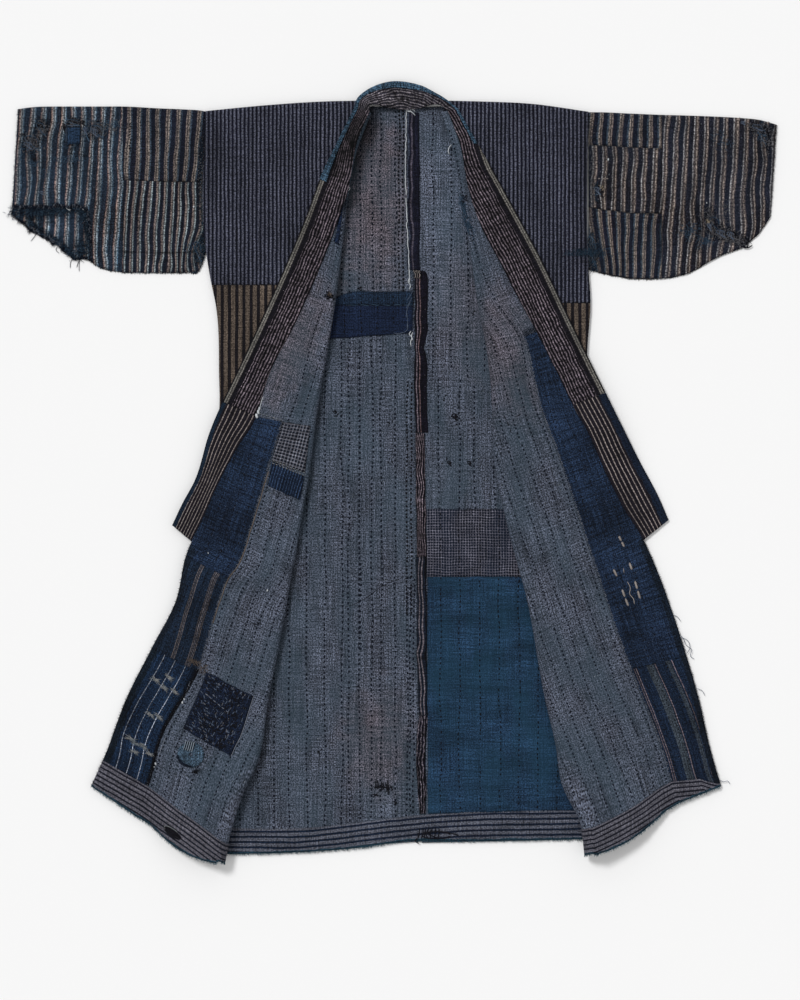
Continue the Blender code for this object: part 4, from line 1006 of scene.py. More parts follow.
def buildCollar():
    right, left = collarLine("right"), collarLine("left")
    table = np.array(neckRows, float)
    ends = []
    for rightSide, columns, leftSide in zip(right, ((0, 1, 4), (2, 3, 4)), left):
        knots = np.concatenate([rightSide[:1], table[:, columns], leftSide[:1]])
        at = np.linspace(0, len(knots) - 1, resolution["neck"])
        smoothNeck = np.stack([smoothAt(np.arange(len(knots)), knots[:, k], at) for k in range(3)], axis=1)
        ends.append(np.concatenate([rightSide[::-1], smoothNeck[1:-1], leftSide]))
    inner, outer = ends
    count, neckCount = len(right[0]), resolution["neck"] - 2
    stand = np.zeros(len(inner))
    stand[:count] = collarColumn(2, right[0])[::-1]
    stand[count:count + neckCount] = np.interp(np.linspace(0, 8, neckCount), range(9), neckStand)
    share = np.linspace(0, 1, resolution["collar"] + 1)
    place = between(inner, outer, share)
    place[:, :, 2] += stand[:, None] * (1 - ease(share / 0.75))[None]
    fine = np.arange(0, len(inner) - 0.5, 0.5)  # twice as many rows, for the puckers
    low = np.minimum(fine.astype(int), len(inner) - 2)
    place = place[low] * (1 - (fine - low))[:, None, None] + place[low + 1] * (fine - low)[:, None, None]
    run = runLengths(place, 0)[:, -1:]
    width = runLengths(place, 1)
    pucker = softNoise(width, run, 9, 6.5, 51) + 0.5 * softNoise(width, run, 20, 4.5, 52)
    place[:, :, 2] += 0.45 * pucker * ease(width / 6) * ease((width[:, -1:] - width) / 6)
    across = runLengths(place, 1)
    u = across[:, -1:] - across
    v = np.broadcast_to(runLengths(place, 0)[:, -1:], u.shape)
    height = place[:, -1:, 1]
    u = u + 13 * ease((height - 470) / 70)  # round the neck the narrow lines start at the binding
    grid = makeGrid(place, u, v, (20, 5))
    paint(grid, "fade", collarWearAndShade)
    neckStart, neckEnd = count - 1, len(inner) - len(left[0])
    rightRow, leftRow = fronts["right"][1], fronts["left"][1]
    marks = [2 * row for row in (0, neckStart - rightRow["overlapTop"], neckStart, neckEnd,
                                 neckEnd + leftRow["clothChange"], len(inner) - 1)]
    plan = (  # node, cloth, slot, ends that meet another piece
        ("right_collar_end", "collarEnd", "dark_brown_stripe_cotton", ("foot",)),
        ("right_collar_band", "collar", "black_stripe_cotton", ("top", "foot")),
        ("neck_collar", "neckCollar", "black_stripe_cotton", ("top", "foot")),
        ("left_collar_band", "collar", "black_stripe_cotton", ("top", "foot")),
        ("left_collar_end", "collarEndLeft", "dark_brown_stripe_cotton", ("top",)),
    )
    for (name, cloth, slotName, ends), rows in zip(plan, zip(marks, marks[1:])):
        piece = trim(part(grid, rows), ends)
        if "end" in name:  # here the stripes close up as the band narrows
            piece["u"] = piece["u"] / piece["u"][:, :1] * 51.0
        makeSheet(name, [(piece, ("right",))], 0, cloth, "collarCloth")
    rows = (2 * (neckStart - rightRow["chest"]), 2 * (neckEnd + leftRow["collarBone"]))
    binding = part(grid, rows, (int(resolution["collar"] * 0.77), None))
    makeSheet("neck_binding", [(binding, allEdges)],
              (layers["collarCloth"] + layers["patchCloth"]) / 2 + 0.5, "teal")


buildCollar()
print("collar built")

# patches on the back and on the fronts

backPieces = (  # node, top left and right x, foot left and right x, top y, foot left and right y, cloth, slot
    ("back_strip_1", 17.6, 36.6, 17.6, 36.6, 562, 318, 318, "stripA", "black_stripe_cotton"),
    ("back_strip_2", 27.5, 48, 28.5, 48, 317.7, 66, 66, "stripB", "black_stripe_cotton"),
    ("back_strip_3", 30.5, 47, 31, 47.3, 65.7, -126, -126, "stripC", "dark_brown_stripe_cotton"),
    ("back_strip_4", 31.5, 47.4, 32.5, 47.8, -126.3, -371, -371, "stripD", "navy_cotton"),
    ("back_strip_5", 32.5, 47.6, 33, 48.3, -371.3, -524, -524, "stripE", "black_stripe_cotton"),
    ("back_patch_navy_upper", -104, 26.6, -107, 26.8, 285, 264, 264, "tealNavy", "fine_stripe_navy_cotton"),
    ("back_patch_navy_lower", -107, 26.8, -112, 25, 263.7, 211, 221, "navy", "navy_cotton"),
    ("back_patch_check", 47.8, 188, 47.8, 214, -52, -156.7, -156.7, "check", "check_cotton"),
    ("back_panel_indigo", 48.4, 214, 49, 297, -157, -524, -518.5, "indigo", "indigo_cotton"),
)
stripSway = {  # y and how far the left and the right edge of a strip wander there
    "back_strip_1": ((562, 0, -1.5), (500, 0, -0.5), (470, 0, 0.6), (455, 0, -0.8), (400, 0, 1), (350, 0, 0),
                     (318, 0, 1)),
    "back_strip_2": ((318, 4, -5), (314, 1, -1), (308, 0, 0.5), (290, 0, 1), (225, 0.5, 0.6), (204, 0, -3.5),
                     (198, 0, -5), (186, 0, -1.5), (170, 0, 0.8), (120, 0.5, 0), (66, 1, 1.5)),
    "back_strip_3": ((66, 0, -2), (20, 0.5, -2.5), (-40, 0, -1.5), (-70, 1.2, -0.5), (-126, 1.5, 0)),
    "back_strip_4": ((-126, 0, 0), (-200, 0.8, -0.6), (-260, -0.5, 0), (-371, 3, 0.8)),
    "back_strip_5": ((-371, 3.5, 1), (-385, 1.5, 0.5), (-400, 0, -0.5), (-425, -1, -1.6), (-450, -1.5, -2),
                     (-475, 0.5, -1), (-495, 1.5, -0.5), (-510, 3.5, -2), (-524, 4, -2)),
}
backHemTop = ((-282, -546), (-143, -546), (-53, -537), (17, -528), (98, -522), (303, -518))
backHemFoot = ((-282, -587), (-143, -583), (-53, -576), (17, -566), (98, -566), (303, -563))


def flatGrid(topLeft, topRight, footLeft, footRight, step, ragged, seed, sway=None):
    width = abs(topRight[0] - topLeft[0])
    height = abs(topLeft[1] - footLeft[1])
    columns = max(4, int(width / step))
    rows = max(4, int(height / step))
    across = np.linspace(0, 1, columns + 1)[None, :, None]
    down = np.linspace(0, 1, rows + 1)[:, None, None]
    top = np.array(topLeft)[None, None] * (1 - across) + np.array(topRight)[None, None] * across
    foot = np.array(footLeft)[None, None] * (1 - across) + np.array(footRight)[None, None] * across
    plan = top * (1 - down) + foot * down
    # hand-cut edges wander a little
    sideways = softNoise(plan[:, :, 0] * 3, plan[:, :, 1], 300, 22, seed) * ragged
    upward = softNoise(plan[:, :, 0], plan[:, :, 1] * 3, 22, 300, seed + 1) * ragged
    u = plan[:, :, 0].copy()
    v = plan[:, :, 1].copy()
    plan[:, :, 0] += sideways
    plan[:, :, 1] += upward
    if sway:  # a gathered strip: its edges wander and its lines bunch
        y = [-row[0] for row in sway]
        shift = [np.interp(-v, y, [row[k] for row in sway]) for k in (1, 2)]
        plan[:, :, 0] += shift[0] * (1 - across[:, :, 0]) + shift[1] * across[:, :, 0]
        bunch = 0.35 if sway[0][0] == 318 else 1.0
        u += bunch * (2.2 * softNoise(u, v, 14, 26, seed + 5) + 0.9 * softNoise(u, v, 7, 11, seed + 6))
    return makeGrid(withHeight(plan, backPatchZ + backRise(plan[:, :, 0], plan[:, :, 1])), u, v, (1, 1))


def buildBackPieces():
    grids = {}
    for number, row in enumerate(backPieces):
        name, topLeft, topRight, footLeft, footRight, top, low, lowRight, cloth, slotName = row
        grid = flatGrid((topLeft, top), (topRight, top), (footLeft, low), (footRight, lowRight),
                        3.0 if name in stripSway else 4.5, 0.8, 40 + number, stripSway.get(name))
        if name == "back_patch_navy_upper":  # its upper left corner is cut off
            corner = ease((-64 - grid["place"][:, :, 0]) / 40)
            share = (grid["place"][:, :, 1] - 264) / 21
            grid["place"][:, :, 1] -= 11 * corner * share
        makeSheet(name, [(grid, allEdges)], 0, cloth)
        grids[name] = grid
    columns = 130
    x = np.linspace(backHemTop[0][0], backHemTop[-1][0], columns + 1)
    topY, footY = (smoothAt(*zip(*line), x) for line in (backHemTop, backHemFoot))
    down = np.linspace(0, 1, 13)[:, None]
    y = topY[None] * (1 - down) + footY[None] * down
    plan = np.stack([np.broadcast_to(x, y.shape), y], axis=2)
    place = withHeight(plan, backPatchZ + backRise(plan[:, :, 0], y))
    grid = makeGrid(place, runLengths(place, 0), plan[:, :, 0].copy(), (1, 1))
    makeSheet("back_hem_facing", [(grid, ("foot",))], 0,
              "hem")
    grids["back_hem_facing"] = grid
    return grids


backGridsOf = buildBackPieces()


def placeOn(grid, x, y):
    # the nearest row and column of a turned-out front to a place in the plan
    distance = (grid["place"][:, :, 0] - x) ** 2 + (grid["place"][:, :, 1] - y) ** 2
    return np.unravel_index(int(np.argmin(distance)), distance.shape)


frontPieces = (  # node, corners: top left and right, foot left and right; cloth, slot
    ("right_patch_small", (-80, 427), (-75, 434), (-98, 361), (-83, 357), "navyPatch", "navy_cotton"),
    ("right_patch_check", (-175, 83), (-127, 77), (-136, 1), (-192, 22), "checkLarge", "check_cotton"),
    ("right_patch_fine", (-192, 21), (-136, 0), (-145, -38), (-198, -16), "tealFine",
     "fine_stripe_navy_cotton"),
    ("right_patch_mottled", (-293, -301), (-219, -340), (-256, -436), (-330, -389), "darned", "navy_cotton"),
)


def buildFrontPieces():
    grid, _, columnOf, _ = fronts["right"]
    lapel = part(grid, columns=(columnOf["top"], None))
    grids = {}
    for name, topLeft, topRight, footRight, footLeft, cloth, slotName in frontPieces:
        corners = np.array([placeOn(lapel, *at) for at in (topLeft, topRight, footLeft, footRight)], float)
        down = np.linspace(0, 1, max(6, int(math.dist(topLeft, footLeft) / 4)))[:, None]
        across = np.linspace(0, 1, max(6, int(math.dist(topLeft, topRight) / 4)))[None]
        i, j = (corners[0, k] * (1 - down) * (1 - across) + corners[1, k] * (1 - down) * across
                + corners[2, k] * down * (1 - across) + corners[3, k] * down * across for k in (0, 1))
        ragged = 0.32 * softNoise(down * 40, across * 40, 7, 7, 83)
        piece = sample(lapel, i + ragged, j + 0.8 * ragged[:, ::-1])
        makeSheet(name, [(piece, allEdges)], patchLift, cloth)
        grids[name] = piece
    for side in ("right", "left"):
        grid, rowOf, columnOf, _ = fronts[side]
        across = np.linspace(0, 1, 97)[None]
        mitre = (0.72 if side == "left" else 0.0) * np.clip((across - 0.86) / 0.14, 0, 1)
        share = mitre + (1 - mitre) * np.linspace(0, 1, 13)[:, None]
        first = columnOf["foot"] + resolution["roll"] / 4
        piece = sample(grid, rowOf["hemTop"] + (rowOf["hem"] - rowOf["hemTop"]) * share,
                       first + (columnOf["edge"] - first) * across + 0 * share)
        piece["u"] = runLengths(piece["place"], 0)
        piece["v"] = runLengths(piece["place"], 1)
        makeSheet(f"{side}_hem_facing",
                  [(piece, ("foot",))], patchLift, "hemFront")
        grids[f"{side}_hem_facing"] = piece
    return grids


frontGridsOf = buildFrontPieces()


roundMend = {"middle": (-317, -431), "radius": 21.0, "rings": 8, "turns": 32,
             "crescent": ((19.4, 0), (17.9, 0), (16.5, 2))}  # reach of each thread, how much is cut off
sleeveMend = ((-509, 540), (-488, 539), (-508.5, 512.5), (-488.5, 513.5))  # top left and right, then foot


def buildRoundMend():
    grid, rowOf, columnOf, _ = fronts["right"]
    lapel = part(grid, (rowOf["stripedFoot"], rowOf["hem"]), (columnOf["top"], columnOf["edge"]))
    middle, radius, half = roundMend["middle"], roundMend["radius"], roundMend["turns"] // 2
    rings = np.linspace(0.001, radius, roundMend["rings"])
    turns = np.linspace(0, 2 * math.pi, roundMend["turns"] + 1)
    place = np.zeros((len(rings), len(turns), 3))
    for i, ring in enumerate(rings):
        for j, turn in enumerate(turns[:-1]):
            x = middle[0] + ring * math.cos(turn)
            y = middle[1] + ring * math.sin(turn) * 0.93
            z = lapel["place"][placeOn(lapel, x, y)][2] + patchLift + 0.3 - 0.25 * (ring / radius) ** 4
            place[i, j] = (x, y, z)
    place[:, -1] = place[:, 0]
    place[0] = place[0].mean(axis=0)
    grid = makeGrid(place, place[:, :, 0].copy(), place[:, :, 1].copy())
    grid["normal"][:] = (0, 0, 1)
    halves = [(part(grid, (1, None), columns), ("foot",)) for columns in ((0, half), (half, None))]
    makeSheet("right_mend_round", halves, 0, "mendBlue",
              flat=(0.042, 0.042))
    ring = [(math.cos(t), 0.97 * math.sin(t)) for t in np.radians(np.linspace(182, 284, 12))]
    arcs = [[(-318 + reach * x, -431 + reach * y) for x, y in ring[cut:12 - cut]]
            for reach, cut in roundMend["crescent"]]
    bars = [[(-323.5 + 3.1 * k, -409.5 - 0.4 * k), (-327.5 + 3.1 * k, -424 - 0.9 * k)] for k in range(5)]
    gaps = [[(x + 1.55, y) for x, y in bar] for bar in bars]
    for ending, courses, lift, radius, yarn, slotName in (
        ("crescent", arcs, 1.4, 0.65, "navy", "navy_cotton"),
        ("bars", bars, 1.2, 0.65, "pale", "grey_blue_lining_cotton"),
        ("bar_gaps", gaps, 1.2, 0.6, "navy", "navy_cotton"),
    ):
        laidThreads("mend_" + ending, lapels["right"], courses, patchLift + lift, radius, yarn)


def buildSleeveMend():
    mend = flatGrid(*sleeveMend, 3.0, 0.7, 90)
    mend["place"][:, :, 2] = layers["sleeveFrontZ"] + layers["sleeveCloth"] / 2 + 1.4
    makeSheet("right_sleeve_mend", [(mend, allEdges)], 0, "sleeveMend")


# sleeves


stripeKinks = {  # middle x y and reach of places where the stripes are pulled sideways, and by how much
    "right": ((-308, 338, 22, -11), (-565, 505, 17, -4), (-500, 520, 13, 3.5), (-480, 410, 16, -3),
              (-345, 324, 11, 4), (-328, 322, 9, -4), (-362, 322, 10, -3.5), (-570, 450, 16, 3),
              (-545, 440, 12, -3)),
    "left": ((304, 306, 48, -26), (462, 380, 17, -4), (316, 440, 9, 4), (505, 505, 20, 3), (545, 390, 18, -3),
             (484, 400, 9, 4), (510, 375, 12, -4), (573, 520, 12, 4)),
}
sleeveWearAndShade = {  # inside the back layer, painted shadow under the torn front layer together with its dark frayed cloth, and dark where it is frayed; then on the front
    "right": (((-530, 410, 66, 11, 0, -0.55), (-526, 384, 24, 12, 0, 0.8), (-487, 348, 13, 15, 20, -0.4),
               (-480, 384, 8, 30, -10, -0.4), (-562, 388, 20, 6, -33, -0.8), (-530, 366, 26, 5, -35, -0.85),
               (-556, 402, 16, 8, 0, -0.6), (-508, 350, 16, 6, -38, -0.8)),
              ((-567, 505, 9, 22, 0, -0.5), (-463, 540, 12, 14, 0, -0.4), (-500, 524, 16, 20, 0, -0.3),
               (-300, 460, 8, 90, 0, -0.75), (-301, 350, 12, 24, 0, -0.8), (-559, 487, 5, 5, 0, -0.6),
               (-545, 545, 12, 10, 0, -0.5), (-498, 550, 10, 8, 0, -0.5))),
    "left": ((),
             ((306, 345, 8, 30, 0, -0.7), (455, 372, 30, 22, 30, -0.25), (302, 460, 4, 90, 0, -0.5),
              (580, 530, 16, 24, 0, -0.45), (484, 402, 9, 18, 0, -0.45), (508, 374, 20, 10, -15, -0.45),
              (540, 358, 14, 8, 20, -0.4))),
}


def sleeveGrid(table, side):
    out = -1 if side == "right" else 1
    x = np.array([row[0] for row in table], float)
    run = np.abs(x - x[0])
    at, index = finePositions(list(run), resolution["sleeveStep"])
    column = {}
    for number, key in enumerate(("x", "top", "low", "frontLow", "frontZ", "lean")):
        curve = [row[number] for row in table]
        column[key] = smoothAt(run, curve, at) if key in ("top", "low") else np.interp(at, run, curve)
    torn = ease((column["frontLow"] - column["low"]) / 25)
    cuff = ease((run[-1] - at) / 6)
    column["frontLow"] += torn * (4.2 * softNoise(at, 0, 9, 9, 31) + 2.2 * softNoise(at, 0, 4.2, 9, 32))
    column["low"] += (0.6 + 2.4 * torn) * softNoise(at, 0, 8, 9, 33) * cuff
    radius = (column["frontZ"] - layers["sleeveBackZ"]) / 2
    lines = []
    for share in np.linspace(0, 1, resolution["sleeveBack"] + 1)[:-1]:
        y = column["low"] * (1 - share) + (column["top"] - radius) * share
        px = column["x"] + column["lean"] * (1 - share)
        lines.append(np.stack([px, y, np.full(len(at), layers["sleeveBackZ"])], axis=1))
    for bend in np.radians(np.linspace(-90, 90, resolution["sleeveFold"] + 1)):
        y = column["top"] - radius * (1 - math.cos(bend))
        z = layers["sleeveBackZ"] + radius * (1 + math.sin(bend))
        lines.append(np.stack([column["x"], y, z], axis=1))
    top = column["top"] - radius
    leanShare = (top - column["frontLow"]) / (top - column["low"])
    for share in np.linspace(0, 1, resolution["sleeveFront"] + 1)[1:]:
        y = top * (1 - share) + column["frontLow"] * share
        px = column["x"] + column["lean"] * share * leanShare
        z = column["frontZ"] * (1 - share) + np.minimum(column["frontZ"], layers["sleeveEdgeZ"]) * share
        z = z + (0.5 + 0.5 * softNoise(px, y, 34, 60, 9)) * 0.9 * math.sin(share * math.pi)
        lines.append(np.stack([px, y, z], axis=1))
    place = np.stack(lines, axis=1)
    px, py = place[:, :, 0], place[:, :, 1]
    u = np.abs(px) - out * 0.058 * (py - 440) + 1.6 * softNoise(px, py, 26, 34, 71)
    u = u + 2 * softNoise(px, py, 90, 60, 72)
    for x, y, reach, shift in stripeKinks[side]:
        u = u + shift * np.exp(-((px - x) ** 2 + (py - y) ** 2 * 0.5) / reach ** 2)
    return makeGrid(place, u, py.copy(), (10, -10)), index


def buildSleeve(side, table, seams, join, cloth):
    # seams: where the front is pieced, as shares of its depth
    # join: the row of the table up to which it is, and past which the cloth is in one
    grid, index = sleeveGrid(table, side)
    joinRow, backCount = index[join], resolution["sleeveBack"]
    front = backCount + resolution["sleeveFold"]
    crown = backCount + resolution["sleeveFold"] // 2
    first, second = (front + int(round(resolution["sleeveFront"] * seam)) for seam in seams)
    for spots, columns in zip(sleeveWearAndShade[side], (np.s_[:backCount], np.s_[front:])):
        layer = {key: value[:, columns] for key, value in grid.items()}
        paint(layer, "fade", spots)
        grid["fade"][:, columns] = layer["fade"]
    back = trim(part(grid, (0, joinRow), (0, crown)), ("right",))
    beyond = part(grid, (joinRow, None))
    makeSheet(f"{side}_sleeve",
              [(back, ("top", "left")), (beyond, ("foot", "left", "right"))], 0, cloth[0], "sleeveCloth",
              (0.515, 0.31))
    for ending, columns, key in (("upper", (crown, first), cloth[1]), ("middle", (first, second), cloth[2]),
                                 ("lower", (second, None), cloth[3])):
        block = trim(part(grid, (0, joinRow), columns), ("foot", "left", "right"))
        makeSheet(f"{side}_sleeve_{ending}",
                  [(block, allEdges)], 0, key, "sleeveCloth")
    return grid, part(grid, columns=(front, None))


rightSleeveGrid, rightSleeveFront = buildSleeve(
    "right", rightSleeve, (0.44, 0.87), 5, ("sleevePairs", "sleeveBroad", "sleeveLined", "sleeveLined"))
leftSleeveGrid, leftSleeveFront = buildSleeve(
    "left", leftSleeve, (0.19, 0.61), 3, ("sleeveDouble", "sleeveBroad", "sleeveDouble", "sleeveBroad"))
print("sleeves built")

# sewing: running stitches, basting, darning, loose threads and frayed edges

stitch = {"pitch": 8.2, "length": 4.6, "width": 2.7, "height": 0.8}


def plainThread(name, colour, variety):
    # twisted cotton sewing thread: matt, a little lighter where the twist catches the light
    material = bpy.data.materials.new(name)
    material.use_nodes = True
    tree = material.node_tree
    shader = tree.nodes["Principled BSDF"]
    shader.inputs["Roughness"].default_value = 0.85
    shader.inputs["Specular IOR Level"].default_value = 0.15
    where = addNode(tree, "TexCoord")
    twist = addNode(tree, "TexNoise", {"Vector": where.outputs["Object"], "Scale": 900.0, "Detail": 1.0})
    age = addNode(tree, "TexNoise", {"Vector": where.outputs["Object"], "Scale": 60.0, "Detail": 2.0})
    share = addNode(tree, "Math", {0: twist.outputs[0], 1: age.outputs[0]}, operation="MULTIPLY")
    spread = addNode(tree, "MapRange", {0: share.outputs[0], 1: 0.1, 2: 0.45, 3: 0.0, 4: 1.0})
    colour = addNode(tree, "Mix", {0: spread.outputs[0], 6: linear(colour), 7: linear(variety)},
                     data_type="RGBA")
    tree.links.new(colour.outputs[2], shader.inputs["Base Color"])
    return material


threads = {
    "navy": plainThread("navy_sewing_thread", "#080c16", "#131b2c"),
    "black": plainThread("black_sewing_thread", "#07070c", "#14141d"),
    "white": plainThread("undyed_cotton_thread", "#a2a8ae", "#dde1e5"),
    "beige": plainThread("frayed_undyed_cotton", "#8a7c68", "#b9ab93"),
    "grey": plainThread("grey_cotton_thread", "#5f6674", "#8d919b"),
    "teal": plainThread("teal_cotton_fibre", "#1f3a48", "#3f6675"),
    "pink": plainThread("faded_pinkish_thread", "#7d7673", "#a9a19b"),
    "pale": plainThread("faded_blue_grey_fibre", "#6d7b8a", "#a9b1b8"),
    "mottle": plainThread("dull_slate_thread", "#3a4558", "#616c7d"),
    "fray": plainThread("worn_white_and_blue_fibre", "#5a6872", "#a39f9b"),
    "speck": plainThread("broken_stripe_yarn", "#3e4149", "#77767a"),
    "brown": plainThread("brown_cotton_thread", "#4d443e", "#7a6d63"),
    "indigo": plainThread("indigo_mending_thread", "#15222f", "#33475a"),
    "slate": plainThread("slate_blue_fibre", "#263a4f", "#4c6378"),
}


def addPiece(name, points, faces, yarn):
    mesh = bpy.data.meshes.new(name)
    mesh.from_pydata(((points - frameCentre) * millimetre).tolist(), [], faces)
    mesh.materials.append(threads[yarn])
    mesh.shade_smooth()
    piece = bpy.data.objects.new(name, mesh)
    bpy.context.scene.collection.objects.link(piece)
    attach(piece, "root")


def addMany(name, solids, faces, yarn):
    # one piece of many small solids that share their list of faces
    size = solids.shape[1]
    faces = [tuple(k + size * number for k in face) for number in range(len(solids)) for face in faces]
    addPiece(name, solids.reshape(-1, 3), faces, yarn)


def lineOn(grid, uAt, lift, wander, seed, rows=None, columns=None):
    # the places on a piece where it is uAt across, row by row
    rows = rows or (0, grid["u"].shape[0] - 1)
    first, last = columns or (0, grid["u"].shape[1] - 1)
    line = []
    for row in range(rows[0], rows[1] + 1):
        u = grid["u"][row, first:last + 1]
        number = np.arange(first, last + 1)
        if u[0] > u[-1]:
            u, number = u[::-1], number[::-1]
        target = uAt + wander * float(softNoise(row * 5.0, uAt * 3.0, 55, 40, seed))
        if not u[0] + 1.5 < target < u[-1] - 1.5:
            continue
        column = float(np.interp(target, u, number))
        left = min(int(column), grid["u"].shape[1] - 2)
        share = column - left
        place = grid["place"][row, left] * (1 - share) + grid["place"][row, left + 1] * share
        normal = grid["normal"][row, left] * (1 - share) + grid["normal"][row, left + 1] * share
        line.append(np.concatenate([place + normal * lift, normal]))
    return np.array(line)


def runningStitches(lines, seed, pitch=stitch["pitch"], length=stitch["length"], missing=0.03):
    # starts, ends and normals of the stitches along some lines
    rng = np.random.default_rng(seed)
    found = []
    for line in lines:
        if len(line) < 4:
            continue
        run = lengthAlong(line[:, :3])
        start = np.arange(rng.uniform(0, pitch), run[-1] - length, pitch)
        start = start + rng.uniform(-0.14, 0.14, len(start)) * pitch
        start = start[rng.uniform(0, 1, len(start)) > missing]
        end = start + length * rng.uniform(0.75, 1.25, len(start))
        a = np.stack([np.interp(start, run, line[:, k]) for k in range(6)], axis=1)
        b = np.stack([np.interp(end, run, line[:, k]) for k in range(6)], axis=1)
        sideways = np.cross(b[:, :3] - a[:, :3], a[:, 3:])
        offset = unit(sideways) * rng.uniform(-0.35, 0.35, (len(a), 1))
        found.append(np.concatenate([a[:, :3] + offset, b[:, :3] - offset, a[:, 3:]], axis=1))
    return np.concatenate(found)


def stitchPiece(name, stitches, yarn, width=stitch["width"], height=stitch["height"]):
    # each stitch is a small pad of thread that sinks into the cloth at both ends
    start, end, normal = stitches[:, :3], stitches[:, 3:6], unit(stitches[:, 6:9])
    heading = end - start
    sideways = unit(np.cross(heading, normal))
    rings = []
    for share in (0.22, 0.78):
        centre = start + heading * share
        rings.append(np.stack([centre + sideways * width / 2, centre + normal * height,
                               centre - sideways * width / 2, centre - normal * 0.3], axis=1))
    points = np.concatenate([(start - normal * 0.25)[:, None], rings[0], rings[1],
                             (end - normal * 0.25)[:, None]], axis=1)
    faces = [(0, 2, 1), (0, 3, 2), (0, 4, 3), (0, 1, 4), (9, 5, 6), (9, 6, 7), (9, 7, 8), (9, 8, 5),
             (1, 2, 6, 5), (2, 3, 7, 6), (3, 4, 8, 7), (4, 1, 5, 8)]
    addMany(name, points, faces, yarn)


def quiltBack():
    lines = []
    columns = (  # side, lowest and highest y, places across
        ("right", -600, 600, (-267, -241, -215, -189, -166, -138, -110, -84, -73, -56, -37, -23, -1)),
        ("right", -600, -150, (17, 22, 27)), ("left", 160, 600, (57, 86, 111, 136)),
        ("left", -60, 160, (66, 98, 122, 153, 178, 203)),
        ("left", -600, -500, (66, 98, 122, 153, 178, 203, 240)),
    )
    for side, low, high, places in columns:
        for block in ("outer", "inside"):
            grid = bodyParts[side][block]
            inside = np.nonzero((grid["place"][:, 0, 1] > low) & (grid["place"][:, 0, 1] < high))[0]
            for number, x in enumerate(places):
                lines.append(lineOn(grid, x, liningFace, 2.2, 60 + number, (int(inside[0]), int(inside[-1]))))
    inside = bodyParts["right"]["inside"]
    heavy = []
    for places, seed, low, high in (((5, 11), 75, 280, 600), ((17, 24), 76, -220, 150)):
        for x in places:
            line = lineOn(inside, x, liningFace, 1.2, seed)
            heavy.append(line[(line[:, 1] > low) & (line[:, 1] < high)])
    stitchPiece("back_quilting_heavy", runningStitches(heavy, 4, pitch=6.2, length=4.4), "black",
                width=3.0)
    stitchPiece("back_quilting", runningStitches(lines, 1), "navy")


def quiltFront(side):
    grid, rowOf, columnOf, _ = fronts[side]
    span = (columnOf["top"] - 3, columnOf["seam"])
    lines = [lineOn(grid, 8 + 21 * number, liningFace, 2.6, 80 + number, (6, rowOf["hemTop"]), span)
             for number in range(10)]
    upper = runningStitches(lines, 2, pitch=6.9, length=3.9, missing=0.06)
    stitchPiece(f"{side}_front_quilting", upper, "navy", width=2.5)
    rows = (rowOf["overlapTop"], rowOf["hemTop"])
    span = (columnOf["seam"], columnOf["edge"])
    lines = [lineOn(grid, -12 - 22 * number, liningFace, 2.0, 95 + number, rows, span) for number in range(3)]
    stitchPiece(f"{side}_overlap_quilting", runningStitches(lines, 5, missing=0.25), "black",
                width=1.7, height=0.45)


def quiltPanels():
    lines = []
    face = layers["patchCloth"] / 2
    for name, wander, seed, places in (("back_panel_indigo", 2.5, 120, (70, 98, 130, 160, 190, 220, 250)),
                                       ("back_patch_navy_upper", 1.5, 140, (-80, -54, -28, -4)),
                                       ("back_patch_navy_lower", 1.5, 140, (-80, -54, -28, -4)),
                                       ("back_patch_check", 1.5, 140, (70, 98, 130, 160, 190))):
        for number, x in enumerate(places):
            lines.append(lineOn(backGridsOf[name], x, face, wander, seed + number))
    stitchPiece("patch_quilting", runningStitches(lines, 3, missing=0.12), "black", width=1.9)


def hairs(name, places, normals, headings, lengths, radius, yarn, slotName, seed, lie=0.5):
    # short fibres and thread ends: three-sided, bent once, tapering to a point
    rng = np.random.default_rng(seed)
    count = len(places)
    normals, headings = unit(normals), unit(headings)
    sideways = unit(np.cross(headings, normals))
    lengths = np.broadcast_to(lengths, count)[:, None] * rng.uniform(0.5, 1.3, (count, 1))
    bendOne = headings + sideways * rng.uniform(-0.7, 0.7, (count, 1))
    bendOne = unit(bendOne + normals * rng.uniform(0, lie, (count, 1)))
    bendTwo = bendOne + sideways * rng.uniform(-0.9, 0.9, (count, 1))
    bendTwo = unit(bendTwo - normals * rng.uniform(0, lie, (count, 1)))
    middle = places + bendOne * lengths * 0.5
    points = []
    for centre, size in ((places, 1.0), (middle, 0.7)):
        for turn in (0, 2 * math.pi / 3, 4 * math.pi / 3):
            points.append(centre + (sideways * math.cos(turn) + normals * math.sin(turn)) * radius * size)
    points.append(middle + bendTwo * lengths * 0.5)
    faces = [(0, 1, 2), (0, 3, 4), (0, 4, 1), (1, 4, 5), (1, 5, 2), (2, 5, 3), (2, 3, 0), (3, 6, 4),
             (4, 6, 5), (5, 6, 3)]
    addMany(name, np.stack(points, axis=1), faces, yarn)


def edgeLine(grid, side, lift=0.0):
    # points, normals and outward headings along one edge of a piece
    edge, inside = edgesOf[side]
    place, normal = grid["place"][edge], grid["normal"][edge]
    return place + normal * lift, normal, unit(place - grid["place"][inside])


def scatterAlong(lines, perMillimetre, seed):
    rng = np.random.default_rng(seed)
    found = [[], [], []]
    for line in lines:
        run = lengthAlong(line[0])
        at = np.sort(rng.uniform(0, run[-1], int(run[-1] * perMillimetre)))
        for store, source in zip(found, line):
            store.append(np.stack([np.interp(at, run, source[:, k]) for k in range(3)], axis=1))
    return [np.concatenate(store) for store in found]


def fringe(name, lines, perMillimetre, length, radius, yarn, slotName, seed, lie=0.5):
    hairs(name, *scatterAlong(lines, perMillimetre, seed), length, radius, yarn, slotName, seed + 1, lie)


